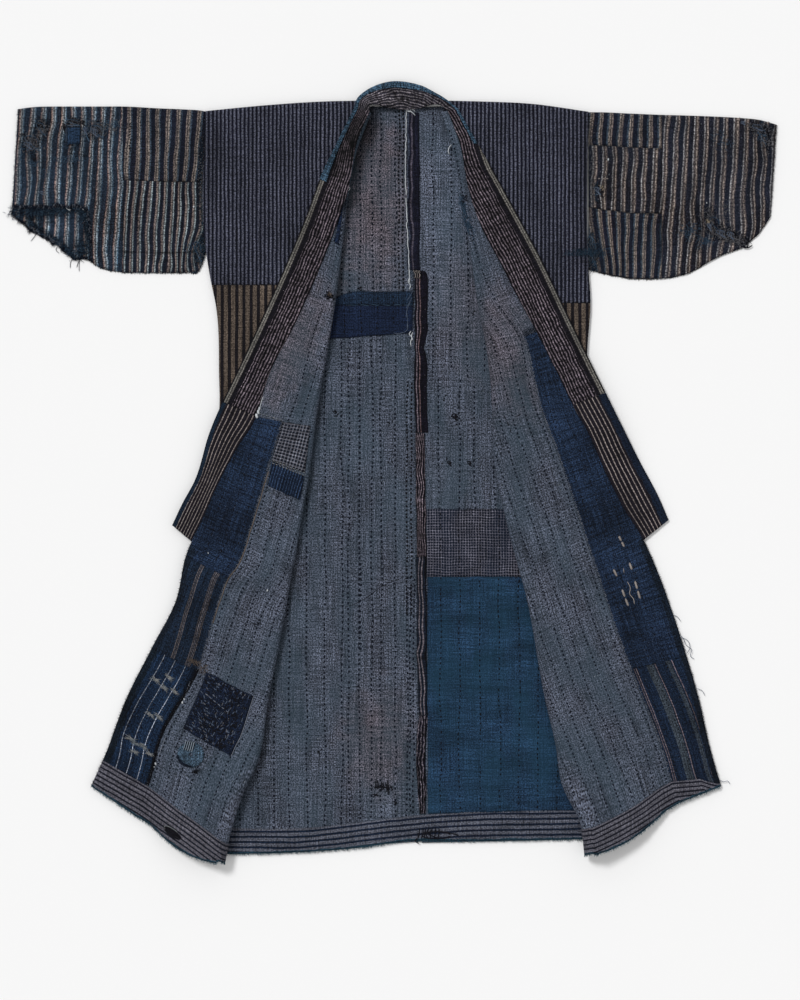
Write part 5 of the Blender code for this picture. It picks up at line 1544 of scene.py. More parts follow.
def tube(points, radius, sides=5):
    points = np.asarray(points, float)
    heading = unit(np.gradient(points, axis=0))
    sideways = unit(np.cross(heading, np.array([0.0, 0.0, 1.0]) + 1e-6))
    upward = np.cross(sideways, heading)
    taper = np.ones(len(points))
    taper[[0, -1]] = 0.35
    turns = np.linspace(0, 2 * math.pi, sides, endpoint=False)
    around = sideways[:, None] * np.cos(turns)[None, :, None] + upward[:, None] * np.sin(turns)[None, :, None]
    rings = points[:, None] + around * (radius * taper)[:, None, None]
    faces = []
    for k in range(len(points) - 1):
        for m in range(sides):
            n = (m + 1) % sides
            faces.append((k * sides + m, k * sides + n, (k + 1) * sides + n, (k + 1) * sides + m))
    faces.append(tuple(range(sides))[::-1])
    last = (len(points) - 1) * sides
    faces.append(tuple(last + m for m in range(sides)))
    return rings.reshape(-1, 3), faces


def smoothPath(points, step=2.0):
    points = np.asarray(points, float)
    run = lengthAlong(points)
    at = np.linspace(0, run[-1], max(4, int(run[-1] / step)))
    return np.stack([smoothAt(run, points[:, k], at) for k in range(3)], axis=1)


def threadPiece(name, paths, radius, yarn, step=2.0):
    # radius: one for all the threads, or one for each
    points, faces = [], []
    start = 0
    for path, size in zip(paths, np.broadcast_to(radius, len(paths))):
        rings, cell = tube(smoothPath(path, step), size)
        points.append(rings)
        faces += [tuple(k + start for k in face) for face in cell]
        start += len(rings)
    addPiece(name, np.concatenate(points), faces, yarn)


quiltBack()
quiltPanels()
for side in ("right", "left"):
    quiltFront(side)
lapels = {side: part(grid, columns=(columnOf["top"] - 2, None))
          for side, (grid, _, columnOf, _) in fronts.items()}


def settle(grid, spots, lift):
    # places on a piece above or below given places in the plan, and its normals there
    spots = np.asarray(spots, float)
    place = grid["place"].reshape(-1, 3)
    normal = grid["normal"].reshape(-1, 3)
    found = []
    for start in range(0, len(spots), 300):
        chunk = spots[start:start + 300]
        distance = ((chunk[:, None] - place[None, :, :2]) ** 2).sum(axis=2)
        nearest = distance.argmin(axis=1)
        base, up = place[nearest], normal[nearest]
        step = chunk - base[:, :2]
        fall = (step * up[:, :2]).sum(axis=1) / np.maximum(up[:, 2], 0.4)
        height = base[:, 2] - np.clip(fall, -2, 2)
        found.append(np.concatenate([chunk, height[:, None], up], axis=1))
    found = np.concatenate(found)
    return found[:, :3] + found[:, 3:] * lift, found[:, 3:]


def laidThreads(name, grid, courses, lift, radius, yarn):
    # threads that lie on a piece along given courses in the plan
    paths = []
    for course in courses:
        plan = smoothPath([(x, y, 0) for x, y in course], 2.5)[:, :2]
        paths.append(settle(grid, plan, lift)[0])
    threadPiece(name, paths, radius, yarn)


def patchOfFibres(name, grid, spots, lift, length, radius, yarn, slotName, seed, spread=35, lie=0.5,
                  reach=None):
    # frayed cloth: middle x y, half width, half height, lean of the fibres in degrees, how many;
    # past reach from the piece's own points there are none
    rng = np.random.default_rng(seed)
    places, normals, headings = [], [], []
    for x, y, halfWidth, halfHeight, lean, count in spots:
        turn = math.radians(lean)
        along = rng.normal(0, halfWidth * 0.5, count)
        across = rng.normal(0, halfHeight * 0.5, count)
        spot = np.stack([x + along * math.cos(turn) - across * math.sin(turn),
                         y + along * math.sin(turn) + across * math.cos(turn)], axis=1)
        place, normal = settle(grid, spot, lift)
        aim = np.radians(lean + rng.normal(0, spread, count)) + math.pi * rng.integers(0, 2, count)
        heading = np.stack([np.cos(aim), np.sin(aim), np.zeros(count)], axis=1)
        heading -= normal * (heading * normal).sum(axis=1, keepdims=True)
        on = np.ones(count, bool)
        if reach:
            flat = grid["place"][:, :, :2].reshape(-1, 2)
            on = np.array([((flat - spot) ** 2).sum(axis=1).min() < reach ** 2 for spot in place[:, :2]])
        places.append(place[on])
        normals.append(normal[on])
        headings.append(heading[on])
    hairs(name, np.concatenate(places), np.concatenate(normals), np.concatenate(headings), length, radius,
          yarn, slotName, seed + 1, lie)


def strokes(grid, marks, lift):
    # single stitches: start x y, end x y
    marks = np.asarray(marks, float)
    start, normal = settle(grid, marks[:, :2], lift)
    end, _ = settle(grid, marks[:, 2:], lift)
    return np.concatenate([start, end, normal], axis=1)


def tangleAt(x, y, wide, high, turns=6):
    # the course of a thread scribbled round a place
    return [(x + wide * math.cos(t * 2.3) * (0.55 + 0.45 * math.sin(t * 0.9)), y + high * math.sin(t * 1.7))
            for t in np.linspace(0, turns, 4 * turns)]


rightTangles = (  # piece, places with half width, half height and turns, then plain courses;
    # lift, radius, thread and slot
    ("sleeve_tangle", (
        (-566, 512, 9, 8, 9), (-560, 519, 6, 5), (-559, 487.5, 3.5, 3.5), (-550, 541, 5, 7),
        (-498, 549, 9, 4), (-513, 536, 3, 9), (-463, 536, 7, 8, 7), (-484, 545, 5, 4)),
     (), 0.4, 0.75, "black", "navy_cotton"),
    ("sleeve_tangle_pale", ((-568, 510, 8, 6, 7), (-466, 530, 8, 7), (-480, 533, 4, 6), (-548, 437, 5, 3)),
     (((-510.5, 538), (-510.8, 530), (-510.4, 522), (-510.8, 515)),
      ((-509, 541.5), (-500, 541.8), (-491, 541.4))),
     1.3, 0.5, "mottle", "sleeve_stripe_cotton"),
    ("sleeve_tangle_blue", (
        (-562, 514, 13, 12, 5), (-549, 536, 8, 10, 4), (-462, 532, 12, 10, 5), (-499, 546, 13, 5, 4),
        (-478, 528, 5, 12, 4), (-306, 346, 7, 16, 5)), (), 0.9, 0.45, "slate", "indigo_cotton"),
)
leftTangles = (
    ("cuff_tangle", (
        (502, 372, 9, 7, 8), (517, 369, 8, 6, 7), (484, 398, 5, 10, 7), (536, 362, 8, 5), (572, 534, 7, 6),
        (560, 545, 8, 3), (312, 444, 5, 6), (319, 436, 4, 7)), (), 0.4, 0.7, "black", "navy_cotton"),
    ("cuff_tangle_pale", (
        (504, 374, 9, 6, 6), (519, 371, 7, 6), (486, 384, 4, 6), (313, 440, 6, 6, 7), (538, 545, 5, 3),
        (561, 538, 10, 5, 4)), (), 1.1, 0.5, "mottle", "sleeve_stripe_cotton"),
    ("cuff_tangle_blue", ((495, 388, 9, 12, 3), (304, 346, 8, 24, 6), (568, 524, 7, 14, 3)), (),
     0.8, 0.42, "slate", "indigo_cotton"),
)


def tangleSleeve(sleeve, tangles):
    face = layers["sleeveCloth"] / 2
    for name, places, courses, lift, radius, yarn, slotName in tangles:
        laidThreads(name, sleeve, [*(tangleAt(*place) for place in places), *courses], face + lift, radius,
                    yarn)


def mendSleeves():
    # mends of scribbled thread and broken yarn on the sleeves and by the armhole
    face = layers["sleeveCloth"] / 2
    tangleSleeve(rightSleeveFront, rightTangles)
    marks = [(-411 + 1.5 * math.sin(k * 2.2), 546 - 4.2 * k, -413 + 1.5 * math.sin(k * 1.3), 543 - 4.2 * k)
             for k in range(11)]
    marks += [(-399 + 1.2 * math.sin(k * 2.6), 401 - 5 * k, -401, 398 - 5 * k) for k in range(9)]
    marks += [(-297.5 - 5 * (k % 2), 548 - 4.6 * k, -299 - 5 * (k % 2), 545 - 4.6 * k) for k in range(46)]
    stitchPiece("sleeve_dark_stitches", strokes(rightSleeveFront, marks, face), "black",
                width=1.8, height=0.6)
    tangleSleeve(leftSleeveFront, leftTangles)
    under = part(fronts["left"][0], (4, fronts["left"][1]["brownSeam"]), (0, 16))
    chest = dict(under, normal=-under["normal"])
    patchOfFibres("chest_mend", chest, [(291, 345, 6, 26, 90, 260)], -outerLift + layers["cloth"] / 2 + 0.1,
                  6, 0.45, "indigo", "indigo_cotton", 62, spread=70, lie=0.3)


def frayEdges():
    lines = [edgeLine(frontGridsOf[f"{side}_hem_facing"], "foot", patchLift) for side in ("right", "left")]
    lines.append(edgeLine(backGridsOf["back_hem_facing"], "foot"))
    fringe("hem_fray", lines, 1.5, 3.8, 0.34, "teal", "teal_binding_cotton", 11)
    lines = []
    for grid in (rightSleeveGrid, leftSleeveGrid):
        lines += [edgeLine(grid, "foot"), edgeLine(grid, "left")]
    for side in ("right", "left"):
        grid, rowOf, _, _ = fronts[side]
        lines.append(edgeLine(part(grid, (rowOf["collarEnd"], rowOf["hem"])), "right"))
    fringe("edge_fray", lines, 0.8, 2.6, 0.28, "navy", "navy_cotton", 13)


tearWadding = (  # in the mouth of the tear: middle x y, half width, half height, lean, how many
    (-562, 408, 27, 11, 0, 300), (-533, 411, 26, 8, 0, 230), (-504, 413, 22, 6, 0, 150),
    (-483, 404, 8, 11, 0, 110), (-488, 350, 14, 13, 30, 180), (-592, 408, 7, 8, 0, 60),
    (-556, 384, 20, 4, -33, 90),
    (-524, 362, 22, 4, -35, 120), (-480, 386, 6, 22, 8, 130), (-506, 345, 14, 6, -35, 110),
)


def tornSleeve():
    # the frayed mouth of the torn cuff: fibres of both layers and a few hanging threads
    grid = rightSleeveGrid
    rows = np.nonzero(np.abs(grid["place"][:, -1, 1] - grid["place"][:, 0, 1]) > 12)[0]
    torn = part(grid, (int(rows[0]), int(rows[-1])))
    fringe("tear_fringe", [edgeLine(torn, "right", 0.3)], 5.0, 7.0, 0.34, "navy", "navy_cotton", 21, 0.9)
    place, normal, heading = scatterAlong([edgeLine(torn, "left", -0.3)], 6.5, 23)
    tuft = softNoise(place[:, 0], place[:, 1], 7, 7, 29)
    place -= heading * np.random.default_rng(30).uniform(0, 5, (len(place), 1))
    hairs("tear_foot_fringe", place - normal * 0.5, -normal, heading, 3.0 + 6.0 * tuft ** 2, 0.42, "navy",
          "navy_cotton", 24, 0.8)
    fringe("tear_pale_fringe", [edgeLine(torn, "right", 0.4)], 0.7, 8.0, 0.3, "grey", "sleeve_stripe_cotton",
           25, 0.9)
    inside = part(grid, columns=(0, 48))
    inside = dict(inside, normal=-inside["normal"])
    face = layers["sleeveCloth"] / 2
    for number, (ending, yarn, share) in enumerate((("wadding", "navy", 0.5), ("wadding_blue", "slate", 0.3),
                                                    ("wadding_mid", "indigo", 0.5))):
        spots = [(*spot, int(count * share)) for *spot, count in tearWadding]
        patchOfFibres("tear_" + ending, inside, spots, face + 0.3, 6.5, 0.45, yarn, "navy_cotton",
                      27 + number, spread=55, lie=0.8)
    spots = [(-558, 379, 18, 3, -33, 14), (-530, 363, 14, 3, -35, 12), (-497, 350, 8, 7, -20, 7)]
    patchOfFibres("tear_foot_pale", inside, spots, face + 0.9, 7.0, 0.45, "grey", "sleeve_stripe_cotton", 33,
                  spread=40, lie=0.9)
    z = layers["sleeveFrontZ"] + 1.4
    threadPiece("tear_pale_threads", [
        [(-511, 414.5, z), (-507, 411.5, z + 0.5), (-503, 412, z)], [(-508, 412, z), (-504, 409.5, z)],
        [(-486, 413, z), (-482.5, 411, z)],
    ], 0.42, "white")
    z = layers["sleeveBackZ"] + 1.1
    threadPiece("tear_threads", [
        [(-500, 338, 0.8), (-504, 331, 0.7), (-505, 321, 0.6)],
        [(-488, 340, 0.9), (-491, 328, 0.8), (-491, 316, 0.6)],
        [(-489, 342, 0.9), (-492, 332, 0.8), (-495, 322, 0.6)],
        [(-556, 376, 0.9), (-562, 368, 0.7), (-566, 363, 0.6)],
        [(-590, 412, 2.4), (-598, 409, 1.6), (-601, 403, 0.8)],
        [(-524, 356, z), (-527, 350, 0.8), (-522, 344, 0.6)],
        [(-476, 402, 3.6), (-474, 380, z), (-479, 358, z), (-474, 340, z), (-482, 336, z)],
        [(-500, 366, z), (-494, 350, z), (-484, 346, z), (-480, 340, z)],
        [(-560, 412, 3.4), (-566, 404, z), (-578, 408, z), (-590, 398, 0.7), (-594, 402, 0.6)],
        [(-520, 412, 3.4), (-514, 404, z), (-508, 396, z), (-500, 400, z), (-492, 392, z)],
        [(-547, 398, z), (-540, 390, z), (-531, 394, z), (-524, 384, z)],
    ], 0.42, "navy")


def bastingThread():
    rng = np.random.default_rng(31)
    z = layers["backZ"] + liningFace + 1.3
    down = np.linspace(0, 1, 60)
    y = 568 - down * 270
    x = np.interp(-y, (-566, -470, -400.7, -345, -298), (15.8, 14.6, 16.6, 19.4, 21.4))
    x = x + rng.normal(0, 0.45, len(y))
    height = z + 0.4 * np.sin(down * 60) + rng.normal(0, 0.12, len(y))
    main = smoothPath(np.stack([x, y, height], axis=1), 1.6)
    second = [[(20.5, 306, z), (19, 300, z + 0.4), (22.5, 294, z), (20.5, 288, z + 0.4)],
              [(23.5, 224, z), (20.5, 219, z + 0.6), (24.5, 214, z), (22.5, 206, z + 0.5), (23.5, 200, z)],
              [(26, 222, z), (24, 216, z + 0.6), (26.5, 209, z)]]
    threadPiece("basting_thread", [main[:len(main) // 2], main[len(main) // 2 + 1:]] + second, 0.72,
                "white")
    ends = [
        [(14, 567, z), (19, 565, z + 2), (25, 562, z + 2.5), (30, 557, z + 2)],
        [(16, 565, z), (21, 563, z + 1.6), (24, 569, z + 2), (30, 563, z + 1.5)],
        [(92, 514, z), (86, 512, z + 1.5), (82, 507, z + 2), (81, 501, z + 1.5), (83, 497, z)],
        [(12, 568, z), (18, 567, z + 2.4), (23, 568, z + 2), (27, 565, z + 1.5)],
    ]
    threadPiece("basting_thread_ends", ends, 0.7, "white")


def scribbles(rng, table, wander):
    # short stitches thrown about some places: x, y, lean in degrees, how many
    marks = []
    for x, y, lean, count in table:
        for _ in range(count):
            turn = math.radians(lean + rng.normal(0, 30))
            startX, startY = x + rng.normal(0, wander), y + rng.normal(0, wander)
            marks.append((startX, startY, startX + 4.2 * math.cos(turn), startY + 4.2 * math.sin(turn)))
    return marks


def darning():
    # pale darning on the wearer's left overlap, and single stitches and scribbles elsewhere
    lapel = lapels["left"]
    dashes = strokes(lapel, [
        (344, -93, 348.5, -102), (348.5, -102, 353, -111), (335.6, -144, 342, -157), (360.5, -134, 365, -147),
        (349, -175, 354, -189), (354, -189, 359.6, -203), (369, -162, 373.5, -177), (373.5, -177, 378, -192),
    ], liningFace)
    seams = [(-212 + 5.4 * k, 96 - 1.6 * k, -208.6 + 5.4 * k, 95 - 1.6 * k) for k in range(7)]
    for x, y in ((-190, 23), (-191, 19)):
        seams += [(x + 5.2 * k, y - 2.0 * k, x + 3.4 + 5.2 * k, y - 1.3 - 2.0 * k) for k in range(10)]
    stitchPiece("patch_seam_stitches", strokes(lapels["right"], seams, patchLift + 0.6), "fray",
                width=1.1, height=0.5)
    stitchPiece("pale_darning", dashes, "pink", width=3.7)
    laidThreads("pale_darning_fine", lapel, [
        [(351, -143), (352.5, -151)], [(357.4, -164), (362, -174), (361, -183), (367, -191), (368.4, -199)],
    ], liningFace + 0.4, 0.6, "pink")
    back = bodyParts["right"]["outer"]
    tangle = []
    for x0, y0, x1, y1 in (
        (-30, -471, -28.5, -485), (-32, -472, -33, -484), (-23, -474, -24, -488), (-20.5, -475, -21, -487),
        (-13.5, -472, -12.5, -494), (-16, -476, -15, -490), (-34, -484, -8, -483), (-30, -481.5, -10, -485.5),
        (-37, -494, -26, -497), (-36, -498, -28, -493), (-9, -480, -7, -489), (-4, -505, 0, -510),
        (-3, -510, 1, -505),
    ):
        tangle.append([(x0, y0), ((x0 + x1) / 2 + 1.3, (y0 + y1) / 2 + 1.0), (x1, y1), (x1 - 1.0, y1 + 1.2)])
    laidThreads("back_tangle", bodyParts["right"]["inside"], tangle, liningFace + 0.5, 1.0, "black")
    knots = []
    for x, y, reach in ((92, 90, 5.5), (83.5, 18, 4), (114.5, 18, 4), (107, 428, 5), (104, 420, 4)):
        knots.append([(x + reach * math.cos(t * 2.3) * (0.5 + 0.5 * math.sin(t)),
                       y + reach * math.sin(t * 1.7))
                      for t in np.linspace(0, 6, 15)])
    laidThreads("lining_knots", bodyParts["left"]["inside"], knots[:3], liningFace + 0.4, 0.8, "black")
    ends = [[(166, 93), (170, 86)], [(171, 84), (174, 76)], [(176, 72), (178, 65)], [(186, 91), (193, 95)],
            [(161, 36), (163, 30)]]
    laidThreads("lapel_knots", lapel, knots[3:] + ends, liningFace + 0.3, 0.7, "black")
    patchOfFibres("lapel_blue_mend", lapel, [(105, 415, 22, 5, -72, 150), (112, 385, 18, 5, -66, 120)],
                  liningFace + 0.2, 6, 0.45, "slate", "indigo_cotton", 39, spread=30, lie=0.3)
    patchOfFibres("right_lapel_hole", lapels["right"], [(-102, 277, 4.5, 6.5, 60, 90)],
                  liningFace + 0.1, 6, 0.5, "black", "navy_cotton", 38, spread=60, lie=0.3)
    patchOfFibres("right_lapel_hole_brown", lapels["right"], [(-101, 279, 3, 4, 60, 14)],
                  liningFace + 0.5, 5, 0.5, "brown", "navy_cotton", 40, spread=60, lie=0.3)
    rng = np.random.default_rng(33)
    rightMarks = scribbles(rng, (
        (-8, 77, 80, 4), (-92, 98, 5, 6), (-8, 19, 70, 3), (-58, 287, 60, 4), (-96, 92, 95, 3),
        (-150, -30, 40, 3), (-60, -330, 20, 3), (-210, -300, 70, 3), (-120, -430, 10, 4)), 3)
    leftMarks = scribbles(rng, (
        (90, 90, 45, 6), (96, 84, 120, 3), (77, 22, 110, 3), (70, 117, 10, 3), (120, 250, 80, 3)), 3.5)
    marks = [strokes(back, rightMarks, liningFace),
             strokes(bodyParts["left"]["outer"], leftMarks, liningFace)]
    stitchPiece("dark_mending_stitches", np.concatenate(marks), "black", width=1.9, height=0.7)
    courses = [(-80, -204), (-66, -200), (-52, -193), (-38, -184), (-26, -174), (-10, -166), (2, -162)]
    laidThreads("pulled_thread", back, [courses], liningFace - 0.1, 0.5, "black")
    laidThreads("pulled_thread_left", bodyParts["right"]["inside"], [[(-2, -163), (6, -160), (13, -155)]],
                liningFace - 0.1, 0.5, "black")


def navyPatchSewing():
    # the pale seam across the navy patch on the back, pale threads down its side and white bits of thread
    back = bodyParts["right"]["inside"]
    rng = np.random.default_rng(37)
    lift = patchLift + layers["patchCloth"] / 2
    outer = bodyParts["right"]["outer"]
    whole = {key: np.concatenate([outer[key][:, :-1], back[key]], axis=1) for key in back}
    seam = []
    for start in range(-72, 14, 17):
        seam.append([(x, 264 + rng.normal(0, 0.4)) for x in np.linspace(start, start + 13, 4)])
    laidThreads("navy_patch_seam", whole, seam, lift + 0.2, 0.45, "slate")
    side = [[(26, 286), (22, 278), (17, 271)], [(25, 276), (20, 266), (15.5, 258)],
            [(22, 268), (17, 256), (16, 244)], [(16.5, 252), (18, 240), (17, 228)],
            [(18, 236), (17.5, 226), (12, 221)], [(13, 222), (5, 220), (-4, 220.5)]]
    laidThreads("navy_patch_side", whole, side, lift + 0.1, 0.5, "mottle")


def hemMend():
    # a loop of dark thread scribbled on the back hem
    grid = backGridsOf["back_hem_facing"]
    loop = [(62 + 22 * math.cos(t), -557 + 5.5 * math.sin(t)) for t in np.linspace(0, 2 * math.pi * 0.97, 18)]
    bars = [[(x, -562), (x + 2.5 * math.sin(x), -555), (x + 2.5, -546)] for x in (34, 39, 44, 49, 54, 59, 64)]
    tail = [[(33, -561), (30, -566), (36, -570)], [(60, -551), (74, -552), (90, -555), (97, -557)],
            [(46, -553), (58, -559), (72, -562), (86, -559)]]
    laidThreads("hem_mend", grid, [loop] + bars + tail, layers["patchCloth"] / 2 + 0.5, 0.95, "black")


paleKnots = {  # middle x y and size of each, by the piece they are on
    "lapel": ((-211, 103, 3.0), (-213, 98, 3.2), (-215.5, 92, 3.4), (-198.4, -177.5, 1.7), (-330, -351, 2.2),
              (-327, -346, 1.6), (-372, -446, 2.2), (-374, -451, 1.5)),
    "sleeves": ((-313, 416, 1.8), (481, 422, 1.2), (-448, 342, 1.5), (328.6, 489, 2.0)),
    "overlap": ((-290, -120, 1.2),),
}


def knotsAndTufts():
    rng = np.random.default_rng(35)
    courses, sizes = [], []
    for where, knots in paleKnots.items():
        for x, y, size in knots:
            grid = lapels["right"]
            if where == "sleeves":
                grid = rightSleeveFront if x < 0 else leftSleeveFront
            middle = settle(grid, [(x, y)], 1.6)[0][0]
            low = middle + (rng.normal(0, size * 0.3), -size, 0)
            high = middle + (rng.normal(0, size * 0.3), size, 0)
            courses.append([low, middle + (0, 0, size * 0.5), high])
            sizes.append(size * 0.62)
    threadPiece("pale_knots", courses, sizes, "white", step=1.0)
    head = []
    for x in (28 + 2.2 * k for k in range(5)):
        head.append([(x, 305), (x + 1 + rng.normal(0, 1), 310), (x, 315), (x - 1, 318)])
    laidThreads("strip_head", bodyParts["right"]["inside"], head, patchLift + 1.0, 0.42, "pink")
    beside = [[(x + 1.2, y) for x, y in course] for course in head]
    laidThreads("strip_head_dark", bodyParts["right"]["inside"], beside, patchLift + 1.0, 0.8, "black")
    laidThreads("knot_thread", lapels["right"], [
        [(-205, 122), (-208, 114), (-210, 106), (-212, 100)],
        [(-79, 444), (-76, 446.5), (-72.5, 445), (-73, 441), (-76, 440)],
    ], liningFace + 0.3, 0.6, "white")
    laidThreads("pale_edge_threads", lapels["right"], [
        [(-326, -344), (-322, -330), (-318, -318)], [(-369, -440), (-362, -420), (-356, -404)],
    ], liningFace + 0.5, 0.4, "grey")


def looseThreads():
    lapel = lapels["left"]
    laidThreads("loose_threads", lapel, [
        [(436, -244), (444, -251), (449, -262), (458, -270), (456, -280), (462, -284)],
        [(440, -250), (452, -256), (455, -268), (450, -276)],
        [(466, -330), (474, -333), (478, -341)],
        [(500, -471), (508, -474), (514, -473), (517, -478)],
        [(428, -215), (436, -219), (441, -226)],
    ], 0.4, 0.5, "grey")
    grid = leftSleeveFront
    laidThreads("cuff_knot", grid, [
        [(535, 360), (538, 355), (543, 353), (545, 358), (540, 361), (537, 357), (542, 354)],
        [(533, 358), (539, 353), (546, 353), (552, 357)],
    ], 1.3, 1.0, "black")


sleeveFibres = {  # piece, sleeve, lift over its face, length, radius, thread, slot, seed, spread;
    # then the places: middle x y, half width, half height, lean, how many
    ("sleeve_mends", "right", 0.1, 6, 0.4, "slate", "indigo_cotton", 53, 70): (
        (-565, 508, 12, 12, 30, 150), (-463, 538, 12, 9, 0, 110), (-499, 526, 17, 18, 0, 150),
        (-502, 490, 6, 30, 90, 90), (-540, 470, 12, 10, 0, 40), (-560, 482, 10, 8, 0, 50),
        (-322, 352, 10, 10, 0, 30), (-440, 545, 20, 6, 0, 50)),
    ("sleeve_mends_left", "left", 0.1, 6, 0.4, "slate", "indigo_cotton", 55, 70): (
        (305, 345, 7, 30, 90, 120), (455, 378, 16, 12, 20, 110), (480, 362, 14, 10, 20, 90),
        (505, 520, 14, 20, 0, 50), (566, 532, 12, 16, 0, 90)),
    ("cuff_specks", "left", 0.9, 3.4, 0.55, "speck", "sleeve_stripe_cotton", 63, 80): (
        (505, 374, 22, 12, -15, 260), (530, 364, 16, 10, -20, 170), (486, 398, 9, 20, 0, 130),
        (560, 538, 20, 10, -10, 160), (575, 520, 7, 24, 0, 90), (506, 405, 12, 24, 0, 90),
        (305, 346, 9, 26, 0, 90), (302, 450, 5, 90, 0, 130)),
    ("sleeve_specks", "right", 0.9, 3.4, 0.55, "speck", "sleeve_stripe_cotton", 64, 80): (
        (-566, 514, 16, 16, 0, 220), (-465, 534, 16, 14, 0, 180), (-499, 546, 16, 8, 0, 60),
        (-548, 537, 12, 12, 0, 110), (-520, 360, 30, 6, -35, 80), (-306, 346, 8, 18, 0, 70),
        (-302, 450, 5, 90, 0, 110), (-440, 540, 30, 10, 0, 90)),
    ("cuff_dark_specks", "left", 0.7, 4.4, 0.55, "black", "navy_cotton", 65, 80): (
        (505, 376, 22, 12, -15, 260), (530, 366, 16, 10, -20, 150), (486, 398, 9, 20, 0, 110),
        (560, 538, 20, 10, -10, 150), (575, 520, 7, 24, 0, 80), (305, 346, 9, 26, 0, 110),
        (470, 405, 12, 26, 0, 50)),
    ("sleeve_dark_specks", "right", 0.7, 4.4, 0.55, "black", "navy_cotton", 66, 80): (
        (-566, 514, 16, 16, 0, 200), (-465, 534, 16, 14, 0, 160), (-499, 546, 16, 8, 0, 100),
        (-548, 537, 12, 12, 0, 110), (-306, 346, 8, 18, 0, 110), (-500, 500, 20, 30, 0, 60)),
    ("armhole_mends", "left", 0.3, 6, 0.45, "indigo", "indigo_cotton", 59, 70): (
        (304, 345, 9, 28, 0, 420), (309, 440, 5, 20, 0, 50)),
    ("armhole_mends_right", "right", 0.3, 6, 0.45, "indigo", "indigo_cotton", 60, 70): (
        (-304, 350, 8, 22, -15, 330), (-300, 450, 4, 80, 0, 150)),
}


def frayedSpots():
    lapel = lapels["right"]
    front, rowOf, columnOf, _ = fronts["right"]
    ties = [(-372, -316), (-350, -313), (-358, -328), (-341, -334), (-380, -371), (-366, -374), (-410, -408),
            (-402, -416), (-405, -427), (-390, -421), (-381, -431)]
    patchOfFibres("pinstripe_fray", lapel, [(x, y, 4.0, 2.0, -33, 26) for x, y in ties],
                  liningFace + 0.4, 9, 0.5, "fray", "indigo_cotton", 41, spread=9, lie=0.2)
    seam = part(front, (rowOf["stripedFoot"], rowOf["hemTop"]), (0, columnOf["seam"]))
    place, normal, heading = scatterAlong([edgeLine(seam, "right", liningFace)], 2.6, 43)
    hairs("overlap_seam_fray", place + normal * 0.4, normal, heading * 0.3 + np.array([0.25, 0.6, 0]),
          7.0, 0.75, "black", "navy_cotton", 44)
    patchOfFibres("overlap_brown_fray", lapel, [(-312, -288, 12, 5, -30, 46), (-296, -300, 6, 7, 60, 22)],
                  liningFace + 0.3, 8, 0.4, "brown", "dark_brown_stripe_cotton", 42, spread=30, lie=0.3)
    seam = part(front, (rowOf["overlapTop"], rowOf["stripedFoot"]), (0, columnOf["seam"]))
    border = edgeLine(seam, "right", liningFace + 0.3)[0][::2]
    border = border[(border[:, 1] < 8) & (border[:, 1] > -232)] + (1.2, 0, 0)
    border[:, 0] += 0.9 * softNoise(border[:, 1], 0, 14, 14, 84)
    threadPiece("overlap_brown_thread", [smoothPath(border)], 0.7, "brown")
    for side, amount, seed in (("right", 1.0, 45), ("left", 1.2, 46)):
        grid, rowOf, columnOf, _ = fronts[side]
        block = part(grid, (rowOf["overlapTop"], rowOf["hemTop"]), (columnOf["seam"] - 8, columnOf["seam"]))
        hairs(f"{side}_overlap_fluff", *scatterAlong([edgeLine(block, "right", liningFace)], amount, seed),
              3.2, 0.3, "grey", "grey_blue_lining_cotton", seed + 2)
    patchOfFibres("lining_holes", lapel, [(-310, -458, 5, 3, 10, 40), (-213, -228, 6, 5, 60, 16)],
                  liningFace, 5, 0.55, "black", "navy_cotton", 49, spread=60, lie=0.2)
    turns = np.linspace(0, 14 * math.pi, 120)
    reach = 0.15 + 0.85 * turns / turns[-1]
    hole = [(-344 + 13.5 * r * math.cos(t) - 2.5 * r * math.sin(t),
             -552 - 9 * r * math.cos(t) - 4.6 * r * math.sin(t))
            for t, r in zip(turns, reach)]
    facing = frontGridsOf["right_hem_facing"]
    laidThreads("hem_hole", facing, [hole], patchLift + 0.6, 0.8, "black")
    rim = [(x, y + 1.4) for x, y in hole[-12:-3]]
    laidThreads("hem_hole_rim", facing, [rim], patchLift + 0.7, 0.5, "fray")
    face = layers["sleeveCloth"] / 2
    for look, spots in sleeveFibres.items():
        name, side, lift, length, radius, yarn, slotName, seed, spread = look
        sleeve = rightSleeveFront if side == "right" else leftSleeveFront
        patchOfFibres(name, sleeve, spots, face + lift, length, radius, yarn, slotName, seed, spread=spread,
                      lie=0.3, reach=2.4)
    patchOfFibres("sleeve_mends_beige", leftSleeveFront,
                  [(483.5, 393, 5, 1.6, 90, 16), (318, 446, 3, 6, 60, 8)],
                  face + 0.9, 5, 0.5, "beige", "sleeve_stripe_cotton", 57, spread=50, lie=0.4)
    patchOfFibres("sleeve_mends_white", leftSleeveFront, [(506, 376, 14, 6, 20, 12), (482, 404, 3, 8, 80, 6)],
                  face + 0.5, 3, 0.4, "fray", "sleeve_stripe_cotton", 58, spread=60, lie=0.4)
    dashes = strokes(leftSleeveFront, [(x, 459.5, x + 4, 459.8) for x in (306, 312.5, 319, 325)], 0.7)
    stitchPiece("pale_sleeve_stitches", dashes, "pink", width=1.6)


